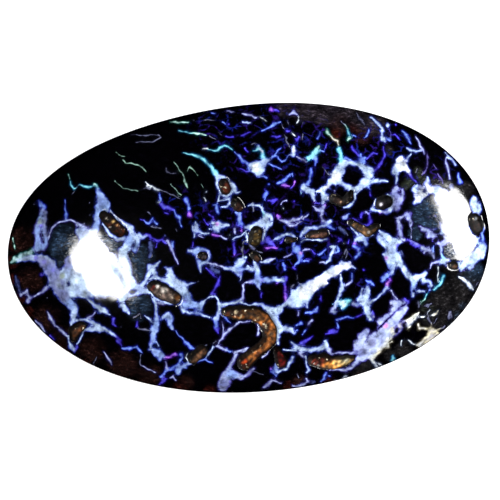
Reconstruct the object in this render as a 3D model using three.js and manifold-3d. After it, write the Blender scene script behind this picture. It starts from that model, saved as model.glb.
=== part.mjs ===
// An oval cabochon of boulder opal, one stone: dark ironstone nodules bound by veins of opal.
// The top is a polished dome with natural hollows left open in it, the back is sawn flat.
// Millimetres. +X runs along the oval's length, +Z points up out of the dome, and the origin
// is on the flat back, in the middle of the stone.

import * as THREE from 'three';
import { mergeVertices } from 'three/addons/utils/BufferGeometryUtils.js';
import Module from 'manifold-3d';

// Size of the oval, measured from its middle.
const halfLength = 14.0;
const halfWidth = 8.38;

// The oval is a little skewed. Each value is a share of the radius.
const lean = 0.041;       // the +X end swings towards +Y and the -X end towards -Y
const leanAbove = 0.024;  // how much more it does so on the +Y side
const shoulder = 0.0075;  // how far the four shoulders are fuller than an ellipse's
const twist = -0.0075;    // how far the shoulders are turned about the middle

// Heights above the flat back.
const backBevel = 0.3;
const girdleTop = 1.4;
const thickness = 5.3;

// Shares of the oval's radius on the back.
const backFace = 0.955;
const bevelTop = 0.982;

// The dome's fullness: 2 is a plain half ellipse, more is flatter on top and steeper at the rim.
const domeFullness = 2.25;

// Natural hollows in the dome. A path runs along each one's middle, and each of its points
// is x, y and half the width there. Depth is measured from the dome.
const hollows = [
  { name: 'worm', depth: 0.5, path: [
    [-1.3, -3.65, 0.28], [-0.5, -3.7, 0.42], [0.25, -3.7, 0.42], [0.85, -4.05, 0.44], [1.25, -4.65, 0.42],
    [1.25, -5.2, 0.4], [0.85, -5.65, 0.36], [0.3, -6.05, 0.38], [-0.2, -6.55, 0.46]] },
  { name: 'prong', depth: 0.4, path: [[1.65, -5.9, 0.2], [1.9, -6.55, 0.36]] },
  { name: 'twoLobed', depth: 0.45, path: [
    [3.7, -6.45, 0.3], [4.3, -6.5, 0.46], [4.9, -6.65, 0.4], [5.5, -6.5, 0.34], [5.95, -6.35, 0.2]] },
  { name: 'slanting', depth: 0.45, path: [[-5.5, -2.2, 0.36], [-4.95, -2.5, 0.48], [-4.25, -2.85, 0.4]] },
  { name: 'leftBean', depth: 0.45, path: [[-8.35, 1.9, 0.3], [-7.9, 1.45, 0.38], [-7.4, 1.0, 0.37]] },
  { name: 'lowerLeft', depth: 0.4, path: [[-3.2, -6.35, 0.34], [-2.7, -5.9, 0.36]] },
  { name: 'leftWedge', depth: 0.4, path: [[-9.7, -4.5, 0.32], [-10.05, -4.75, 0.38], [-10.15, -5.15, 0.24]] },
  { name: 'upperEye', depth: 0.4, path: [[-1.42, 3.75, 0.32], [-1.32, 3.4, 0.34]] },
  { name: 'glintEye', depth: 0.35, path: [[-0.75, 2.6, 0.3], [-0.55, 2.35, 0.28]] },
  { name: 'middle', depth: 0.45, path: [[0.45, 0.95, 0.38], [0.35, 0.5, 0.4]] },
  { name: 'saddle', depth: 0.35, path: [[3.5, 0.78, 0.2], [3.9, 0.84, 0.27], [4.3, 0.84, 0.28]] },
  { name: 'slit', depth: 0.25, path: [[2.3, 0.5, 0.16], [2.6, 0.5, 0.16]] },
  { name: 'middleDrop', depth: 0.25, path: [[0.28, -0.34, 0.18], [0.5, -0.62, 0.18]] },
  { name: 'cluster', depth: 0.35, path: [[4.9, 2.9, 0.28], [5.4, 2.65, 0.24], [5.8, 2.9, 0.26], [5.9, 3.2, 0.18]] },
  { name: 'rightEye', depth: 0.5, path: [[7.7, 2.6, 0.4], [7.95, 2.7, 0.4]] },
  { name: 'crescent', depth: 0.35, path: [
    [5.95, 1.5, 0.2], [6.4, 1.2, 0.25], [6.85, 0.95, 0.32], [7.35, 1.25, 0.2]] },
  { name: 'rimEye', depth: 0.4, path: [[13.1, 1.7, 0.36], [13.25, 1.2, 0.38]] },
  { name: 'rightDrop', depth: 0.25, path: [[11.8, -0.95, 0.24], [11.9, -0.98, 0.24]] },
  { name: 'ringed', depth: 0.3, path: [[-2.7, -0.42, 0.25], [-2.6, -0.46, 0.25]] },
];

// How finely the solid is divided.
const segments = 96;         // round the oval
const domeRings = 22;
const hollowSides = 10;
const stationsPerSpan = 4;   // along a hollow, between two points of its path
const tipShare = 0.12;       // share of a hollow's path over which each end closes

// Share of the radius added to a plain ellipse at an angle, measured with the oval squashed to a circle.
function outlineFactor(angle) {
  const corner = Math.sin(2 * angle);
  return 1 + corner * (lean + leanAbove * Math.sin(angle))
    + shoulder * (1 - Math.cos(4 * angle)) + twist * Math.sin(4 * angle);
}

// A point of the oval scaled by a share of its radius.
function outlinePoint(angle, share) {
  const radius = share * outlineFactor(angle);
  return [halfLength * Math.cos(angle) * radius, halfWidth * Math.sin(angle) * radius];
}

// Height of the dome where the distance from the middle is a share of the oval's radius.
function domeHeight(share) {
  const fall = Math.min(1, share) ** domeFullness;
  return girdleTop + (thickness - girdleTop) * Math.sqrt(1 - fall);
}

function domeHeightAt(x, y) {
  const across = x / halfLength;
  const up = y / halfWidth;
  return domeHeight(Math.hypot(across, up) / outlineFactor(Math.atan2(up, across)));
}

function closedGeometry(positions, indices) {
  const geometry = new THREE.BufferGeometry();
  geometry.setAttribute('position', new THREE.Float32BufferAttribute(positions, 3));
  geometry.setIndex(indices);
  return mergeVertices(geometry);
}

// Triangles between rings of points that follow each other, closed by a point at each end.
function loftGeometry(rings, firstPoint, lastPoint) {
  const sides = rings[0].length;
  const positions = [firstPoint, ...rings.flat(), lastPoint].flat();
  const last = 1 + rings.length * sides;
  const indices = [];
  for (let side = 0; side < sides; side += 1) {
    const next = (side + 1) % sides;
    indices.push(0, 1 + side, 1 + next);
    for (let ring = 0; ring + 1 < rings.length; ring += 1) {
      const here = 1 + ring * sides;
      const there = here + sides;
      indices.push(here + side, there + side, there + next);
      indices.push(here + side, there + next, here + next);
    }
    indices.push(last, last - sides + next, last - sides + side);
  }
  return closedGeometry(positions, indices);
}

// The whole stone before its hollows: rings from the top of the dome down to the flat back.
function stoneGeometry() {
  const levels = [];
  for (let ring = 1; ring <= domeRings; ring += 1) {
    const share = Math.sin((Math.PI / 2) * (ring / domeRings));
    levels.push([share, domeHeight(share)]);
  }
  levels.push([bevelTop, backBevel], [backFace, 0]);
  const rings = levels.map(([share, height]) => {
    const ring = [];
    for (let segment = 0; segment < segments; segment += 1) {
      const angle = (2 * Math.PI * segment) / segments;
      ring.push([...outlinePoint(angle, share), height]);
    }
    return ring;
  });
  return loftGeometry(rings, [0, 0, thickness], [0, 0, 0]);
}

// The body that cuts one hollow: an oval section carried along the path, its middle on the dome.
function hollowGeometry({ path, depth }) {
  const curve = new THREE.CatmullRomCurve3(path.map(([x, y, half]) => new THREE.Vector3(x, y, half)));
  const stations = stationsPerSpan * (path.length - 1) + 4;
  const first = curve.getPoint(0);
  const second = curve.getPoint(0.01);
  const start = new THREE.Vector2(first.x - second.x, first.y - second.y).setLength(first.z);
  const end = curve.getPoint(1);
  const nearEnd = curve.getPoint(0.99);
  const finish = new THREE.Vector2(end.x - nearEnd.x, end.y - nearEnd.y).setLength(end.z);
  const rings = [];
  for (let station = 1; station < stations; station += 1) {
    const along = station / stations;
    const point = curve.getPoint(along);
    const tangent = curve.getTangent(along).setZ(0).normalize();
    const fromTip = Math.min(1, along / tipShare, (1 - along) / tipShare);
    const size = 0.55 + 0.45 * Math.sqrt(fromTip);
    const height = domeHeightAt(point.x, point.y);
    const ring = [];
    for (let side = 0; side < hollowSides; side += 1) {
      const turn = (2 * Math.PI * side) / hollowSides;
      const out = point.z * size * Math.cos(turn);
      const up = depth * size * Math.sin(turn);
      ring.push([point.x + tangent.y * out, point.y - tangent.x * out, height + up]);
    }
    rings.push(ring);
  }
  const tip = (point, push) => {
    const x = point.x + push.x * 0.6;
    const y = point.y + push.y * 0.6;
    return [x, y, domeHeightAt(x, y)];
  };
  return loftGeometry(rings, tip(first, start), tip(end, finish));
}

const wasm = await Module();
wasm.setup();

function solidFrom(geometry) {
  return new wasm.Manifold(new wasm.Mesh({
    numProp: 3,
    vertProperties: new Float32Array(geometry.attributes.position.array),
    triVerts: new Uint32Array(geometry.index.array),
  }));
}

function geometryFrom(solid) {
  const mesh = solid.getMesh();
  const geometry = new THREE.BufferGeometry();
  geometry.setAttribute('position', new THREE.BufferAttribute(new Float32Array(mesh.vertProperties), 3));
  geometry.setIndex(new THREE.BufferAttribute(new Uint32Array(mesh.triVerts), 1));
  geometry.computeVertexNormals();
  return geometry;
}

let stone = solidFrom(stoneGeometry());
for (const hollow of hollows) {
  stone = stone.subtract(solidFrom(hollowGeometry(hollow)));
}

const polishedStone = new THREE.MeshStandardMaterial({ color: 0x17131f, roughness: 0.12, metalness: 0 });
const boulderOpal = new THREE.Mesh(geometryFrom(stone), polishedStone);
boulderOpal.name = 'opal_stone';

const part = new THREE.Group();
part.name = 'boulder_opal_cabochon';
part.add(boulderOpal);

export default part;
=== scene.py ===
import bpy
import numpy as np
from mathutils import Matrix, Vector


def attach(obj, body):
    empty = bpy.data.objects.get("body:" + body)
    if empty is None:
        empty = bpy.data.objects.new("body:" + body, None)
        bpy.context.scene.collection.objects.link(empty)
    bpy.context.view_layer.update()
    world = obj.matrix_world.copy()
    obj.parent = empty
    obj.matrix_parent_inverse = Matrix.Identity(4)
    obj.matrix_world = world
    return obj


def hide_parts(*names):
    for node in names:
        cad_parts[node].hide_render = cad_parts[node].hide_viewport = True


# A polished oval of boulder opal on a pale floor, seen from straight above.
# Sizes are in millimetres and turned into metres where the mesh is made.
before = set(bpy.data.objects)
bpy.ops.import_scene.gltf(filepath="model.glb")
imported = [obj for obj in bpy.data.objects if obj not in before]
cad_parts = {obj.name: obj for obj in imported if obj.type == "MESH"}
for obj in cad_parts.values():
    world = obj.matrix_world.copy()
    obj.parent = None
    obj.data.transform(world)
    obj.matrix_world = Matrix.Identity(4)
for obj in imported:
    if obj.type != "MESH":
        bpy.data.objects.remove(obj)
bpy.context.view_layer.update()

# The photo looks straight down: pixels to millimetres, and where its camera stands.
photo = {
    "pixel": 0.0582,          # millimetres to one pixel at the girdle
    "centreX": 248.5,         # the pixel over the middle of the stone
    "centreY": 248.5,
    "size": 500,
    "sensor": 36.0,
    "cameraHeight": 300.0,    # a macro lens 30 cm above the girdle
    "girdle": 1.4,            # height at which the outline is seen
}

# The outline, the dome and the back, the same as the solid that this surface stands for.
stone = {
    "halfLength": 14.0,
    "halfWidth": 8.38,
    "lean": 0.041,            # the oval is skewed, and a little more in its upper half
    "leanAbove": 0.024,
    "shoulder": 0.0075,       # fullness between the ends and the sides
    "twist": -0.0075,
    "backBevel": 0.3,
    "girdleTop": 1.4,
    "thickness": 5.3,
    "bevelTop": 0.982,        # share of the radius at the top of the bevel
    "backFace": 0.955,        # share of the radius at the flat back
    "domeFullness": 2.25,
    "columns": 372,           # grid lines over the dome
    "rows": 224,
    "rimFall": 0.5,           # height over the girdle below which the pattern runs down the side
    "gridEdge": 0.97,         # share of the radius where the grid hands over to rings
    "rimRings": 6,
}

# Natural hollows left open in the polish: depth, floor colour, then x, y and half width along each.
hollows = {
    "worm": (0.5, (0.74, 0.44, 0.20), """
        -1.3,-3.65,.28 -.5,-3.7,.42 .25,-3.7,.42 .85,-4.05,.44 1.25,-4.65,.42 1.25,-5.2,.4
        .85,-5.65,.36 .3,-6.05,.38 -.2,-6.55,.46"""),
    "prong": (0.4, (0.42, 0.04, 0.03), "1.65,-5.9,.2 1.9,-6.55,.36"),
    "twoLobed": (0.45, (0.78, 0.50, 0.20), """
        3.7,-6.45,.3 4.3,-6.5,.46 4.9,-6.65,.4 5.5,-6.5,.34 5.95,-6.35,.2"""),
    "slanting": (0.45, (0.40, 0.33, 0.30), "-5.5,-2.2,.36 -4.95,-2.5,.48 -4.25,-2.85,.4"),
    "leftBean": (0.45, (0.30, 0.13, 0.05), "-8.35,1.9,.3 -7.9,1.45,.38 -7.4,1,.37"),
    "lowerLeft": (0.4, (0.45, 0.30, 0.20), "-3.2,-6.35,.34 -2.7,-5.9,.36"),
    "leftWedge": (0.4, (0.36, 0.20, 0.10), "-9.7,-4.5,.32 -10.05,-4.75,.38 -10.15,-5.15,.24"),
    "upperEye": (0.4, (0.36, 0.15, 0.08), "-1.42,3.75,.32 -1.32,3.4,.34"),
    "glintEye": (0.35, (0.24, 0.12, 0.09), "-.75,2.6,.3 -.55,2.35,.28"),
    "middle": (0.45, (0.38, 0.29, 0.12), ".45,.95,.38 .35,.5,.4"),
    "saddle": (0.35, (0.50, 0.34, 0.28), "3.5,.78,.2 3.9,.84,.27 4.3,.84,.28"),
    "slit": (0.25, (0.55, 0.38, 0.24), "2.3,.5,.16 2.6,.5,.16"),
    "middleDrop": (0.25, (0.36, 0.24, 0.18), ".28,-.34,.18 .5,-.62,.18"),
    "cluster": (0.35, (0.19, 0.12, 0.09), "4.9,2.9,.28 5.4,2.65,.24 5.8,2.9,.26 5.9,3.2,.18"),
    "rightEye": (0.5, (0.10, 0.07, 0.10), "7.7,2.6,.4 7.95,2.7,.4"),
    "crescent": (0.35, (0.42, 0.30, 0.18), "5.95,1.5,.2 6.4,1.2,.25 6.85,.95,.32 7.35,1.25,.2"),
    "rimEye": (0.4, (0.12, 0.07, 0.06), "13.1,1.7,.36 13.25,1.2,.38"),
    "rightDrop": (0.25, (0.36, 0.24, 0.16), "11.8,-.95,.24 11.9,-.98,.24"),
    "ringed": (0.3, (0.33, 0.28, 0.30), "-2.7,-.42,.25 -2.6,-.46,.25"),
}

# How the light falls on the floors of the hollows.
hollowShade = {
    "reach": 0.2,             # how far the upper left wall throws its shade
    "darkest": 0.22,          # light left in that shade
    "mean": 0.86,             # the floor is mottled about this, by so much
    "mottle": 0.42,
}

# Stains and painted glints in the hollows: x, y and radius in the photo's pixels, then the colour. The
# small white and cream spots are painted glints, the large cream spots on the right lobe of the two-lobed
# hollow are painted light on its floor, and the rest are stains and darker spots.
glintsAndStains = [
    (224, 309, 10.0, (0.18, 0.06, 0.04)),
    (237, 310, 10.0, (0.22, 0.11, 0.05)),
    (248, 312, 9.0, (0.27, 0.16, 0.05)),
    (258, 316, 8.0, (0.34, 0.21, 0.09)),
    (266, 327, 6.0, (0.36, 0.20, 0.09)),
    (259, 355, 5.0, (0.42, 0.22, 0.11)),
    (245, 364, 7.0, (0.26, 0.08, 0.04)),
    (243, 361, 5.5, (0.72, 0.25, 0.08)),
    (222, 312, 4.0, (0.06, 0.03, 0.04)),
    (232, 314, 4.0, (0.16, 0.08, 0.06)),
    (317, 359, 12.0, (0.34, 0.10, 0.05)),
    (329, 357, 7.0, (0.16, 0.08, 0.04)),
    (337, 363, 6.0, (1.00, 0.78, 0.46)),
    (345, 360, 8.5, (1.00, 0.88, 0.60)),
    (346, 359, 4.4, (1.00, 0.97, 0.82)),
    (353, 357, 3.2, (1.00, 0.93, 0.76)),
    (311, 361, 1.3, (0.92, 0.88, 0.84)),
    (314, 364, 1.2, (0.88, 0.84, 0.80)),
    (318, 366, 1.5, (0.92, 0.88, 0.84)),
    (256, 231, 3.4, (0.09, 0.06, 0.05)),
    (255.5, 231.5, 1.1, (0.90, 0.86, 0.78)),
    (251, 239, 1.5, (0.92, 0.86, 0.66)),
    (258.6, 241, 1.4, (0.92, 0.86, 0.66)),
    (164, 290, 5.0, (0.80, 0.76, 0.72)),
    (171, 296, 3.0, (0.62, 0.54, 0.48)),
    (177, 297, 4.5, (0.44, 0.26, 0.10)),
    (152, 287, 4.5, (0.42, 0.09, 0.05)),
    (157.5, 286, 2.6, (1.00, 0.97, 0.94)),
    (107, 219, 6.0, (0.05, 0.03, 0.03)),
    (113, 228, 4.0, (0.08, 0.04, 0.03)),
    (106, 218, 1.3, (0.95, 0.90, 0.84)),
    (113, 221.5, 2.0, (0.98, 0.82, 0.50)),
    (117, 225, 1.6, (0.85, 0.62, 0.40)),
    (110, 227, 1.2, (0.90, 0.86, 0.82)),
    (85, 325, 1.8, (0.82, 0.74, 0.60)),
    (234.5, 204, 1.7, (0.95, 0.93, 0.95)),
    (253, 255, 1.6, (0.85, 0.80, 0.80)),
    (381, 204, 2.8, (0.95, 0.93, 0.98)),
    (368.5, 232.5, 1.7, (0.90, 0.86, 0.82)),
    (334, 198, 1.6, (0.62, 0.48, 0.38)),
    (341, 202, 1.4, (0.70, 0.55, 0.44)),
    (347, 199, 1.4, (0.62, 0.48, 0.38)),
    (250, 306, 1.6, (0.72, 0.58, 0.36)),
    (258, 318, 1.6, (0.72, 0.56, 0.36)),
    (271, 334, 3.0, (0.84, 0.62, 0.42)),
    (236, 312, 2.5, (0.90, 0.82, 0.66)),
    (241, 316, 1.6, (0.90, 0.80, 0.62)),
    (240, 319, 1.6, (0.86, 0.72, 0.50)),
    (482, 219.5, 2.2, (1.00, 1.00, 1.00)),
    (475, 218, 3.4, (0.40, 0.43, 0.46)),
]

# How each kind of vein looks: the colour inside it and the colour along its edge.
tints = {
    "ice": ((0.78, 0.88, 0.99), (0.17, 0.22, 0.57)),
    "white": ((0.93, 0.97, 0.97), (0.26, 0.30, 0.42)),
    "lilac": ((0.72, 0.77, 0.94), (0.24, 0.22, 0.53)),
    "blue": ((0.48, 0.62, 0.96), (0.12, 0.16, 0.62)),
    "violet": ((0.31, 0.26, 0.86), (0.14, 0.08, 0.56)),
    "pink": ((0.74, 0.45, 0.98), (0.34, 0.13, 0.66)),
    "turquoise": ((0.56, 0.93, 0.95), (0.08, 0.36, 0.54)),
    "green": ((0.78, 0.97, 0.92), (0.07, 0.32, 0.30)),
    "cream": ((0.99, 0.98, 0.92), (0.42, 0.40, 0.34)),
    "cloud": ((0.56, 0.59, 0.76), (0.24, 0.26, 0.44)),
    "haze": ((0.20, 0.24, 0.42), (0.09, 0.11, 0.28)),
    "dusk": ((0.38, 0.34, 0.60), (0.14, 0.11, 0.32)),
    "dim": ((0.40, 0.41, 0.50), (0.13, 0.13, 0.21)),
    "sage": ((0.56, 0.72, 0.64), (0.10, 0.16, 0.15)),
}

# Ironstone that isn't black, with a painted sheen and haze: its colour, then where it lies as
# "x,y,radius" in the photo's pixels.
stonePatches = {
    "ash": ((0.10, 0.095, 0.10), """
        452,302,22 466,288,16 446,322,12 430,318,8 362,370,11 376,372,9 404,350,8 390,356,6 466,190,8
        437,181,6 447,188,5 388,150,5"""),
    "olive": ((0.15, 0.17, 0.14), """
        410,182,5 421,177,5 404,186,4 426,186,4 418,171,4 426,306,5 433,312,5 428,318,4"""),
    # slate: rougher ironstone about the two mirrored lights and along the lower right rim, tinted
    # blue-grey in part as a painted haze of those lights
    "slateAndHaze": ((0.13, 0.19, 0.27), """
        457,316,5 451,325,4 463,306,4 445,333,3
        473,272,9 449,251,8 425,212,13 433,222,9 415,234,6 62,240,14 60,256,9 107,246,12 118,262,7
        141,258,11 138,276,7 139,308,11"""),
    # sheen: a painted reflection along the top rim, not a colour of the stone
    "sheen": ((0.15, 0.13, 0.155), """
        286,107,9 304,109,11 322,112,12 340,115,12 358,120,12 376,126,10"""),
    "red": ((0.17, 0.047, 0.032), """
        12,262,6 11,245,5 14,280,6 20,298,6 28,312,5 60,350,7 84,366,6 180,388,7 210,391,6 290,389,7
        330,384,7 360,378,5 432,346,4 448,333,3.4 460,320,3.4 468,308,3 424,352,3.4 352,130,6
        336,134,5"""),
    "umber": ((0.115, 0.057, 0.05), """
        30,280,12 22,240,12 46,318,12 60,340,12 92,350,12 122,366,14 150,378,12 185,384,8 300,384,8
        340,124,9 362,136,8"""),
}

# Places where the opal takes another tone: its colour, then "x,y,radius" in the photo's pixels.
opalPatches = {
    "cream": ((0.97, 0.99, 0.92), """
        376,357,4 383,349,4 390,341,4 397,334,3.5 404,326,4 412,320,4 376,317,3 383,312,2.6 389,305,2.6
        419,346,5 417,316,4 394,331,4 387,344,4 372,360,4"""),
    "butter": ((1.00, 0.96, 0.76), """
        432,334,7 427,341,7 438,333,5 435,339,7 431,329,5 436,311,4 393,330,3 401,326,3 380,352,3"""),
    "bright": ((0.98, 1.00, 1.00), """
        304,292,6 313,287,7 322,282,7 332,277,7 340,269,6 349,265,4 401,163,7 406,170,6 336,176,5
        328,188,4 416,197,5 425,193,6 430,186,6 262,150,3 256,167,4 342,304,4 294,150,3"""),
    "steel": ((0.55, 0.67, 0.92), """
        38,215,6 37,232,7 38,245,7 45,243,6 98,192,5 97,212,6 97,226,6 103,204,8 187,301,8 197,309,7
        170,322,7 156,325,7 153,340,7 158,355,7 182,369,7 70,304,6 232,374,6 276,366,5 200,255,8
        241,270,6 258,278,7 270,281,6 238,217,5 136,250,8 128,240,5 370,240,6 388,268,5 414,287,5"""),
    "grey": ((0.47, 0.48, 0.64), """
        48,270,10 57,285,7 40,262,7 66,262,7 62,296,7 224,385,5 396,196,5 396,206,5 385,214,4
        372,343,4 362,352,4 250,374,4"""),
    "violet": ((0.46, 0.38, 0.94), """
        44,262,2.2 53,270,2 64,264,2 36,258,2 41,226,2 55,300,2 76,300,2 185,301,2 241,273,2 262,280,2
        232,382,3 150,342,2 372,262,2 412,214,2.4 385,220,2 398,246,2.4 384,273,2 317,330,2"""),
    "moss": ((0.56, 0.62, 0.52), """
        58,283,3.4 62,276,3 26,262,4 40,221,3.4 47,222,2.4 84,294,3 92,300,2.6 60,288,3"""),
    "pink": ((0.93, 0.60, 0.98), """
        385.5,325.5,2.6 386,258,2 388,284,2.2 301,253,2 217,224,2"""),
    "cyan": ((0.62, 0.95, 0.98), """
        342,304,3 257,149,2.6 281,214,2 444,256,3 300,195,3 316,152,4 262,214,3 98,186,3"""),
}

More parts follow.
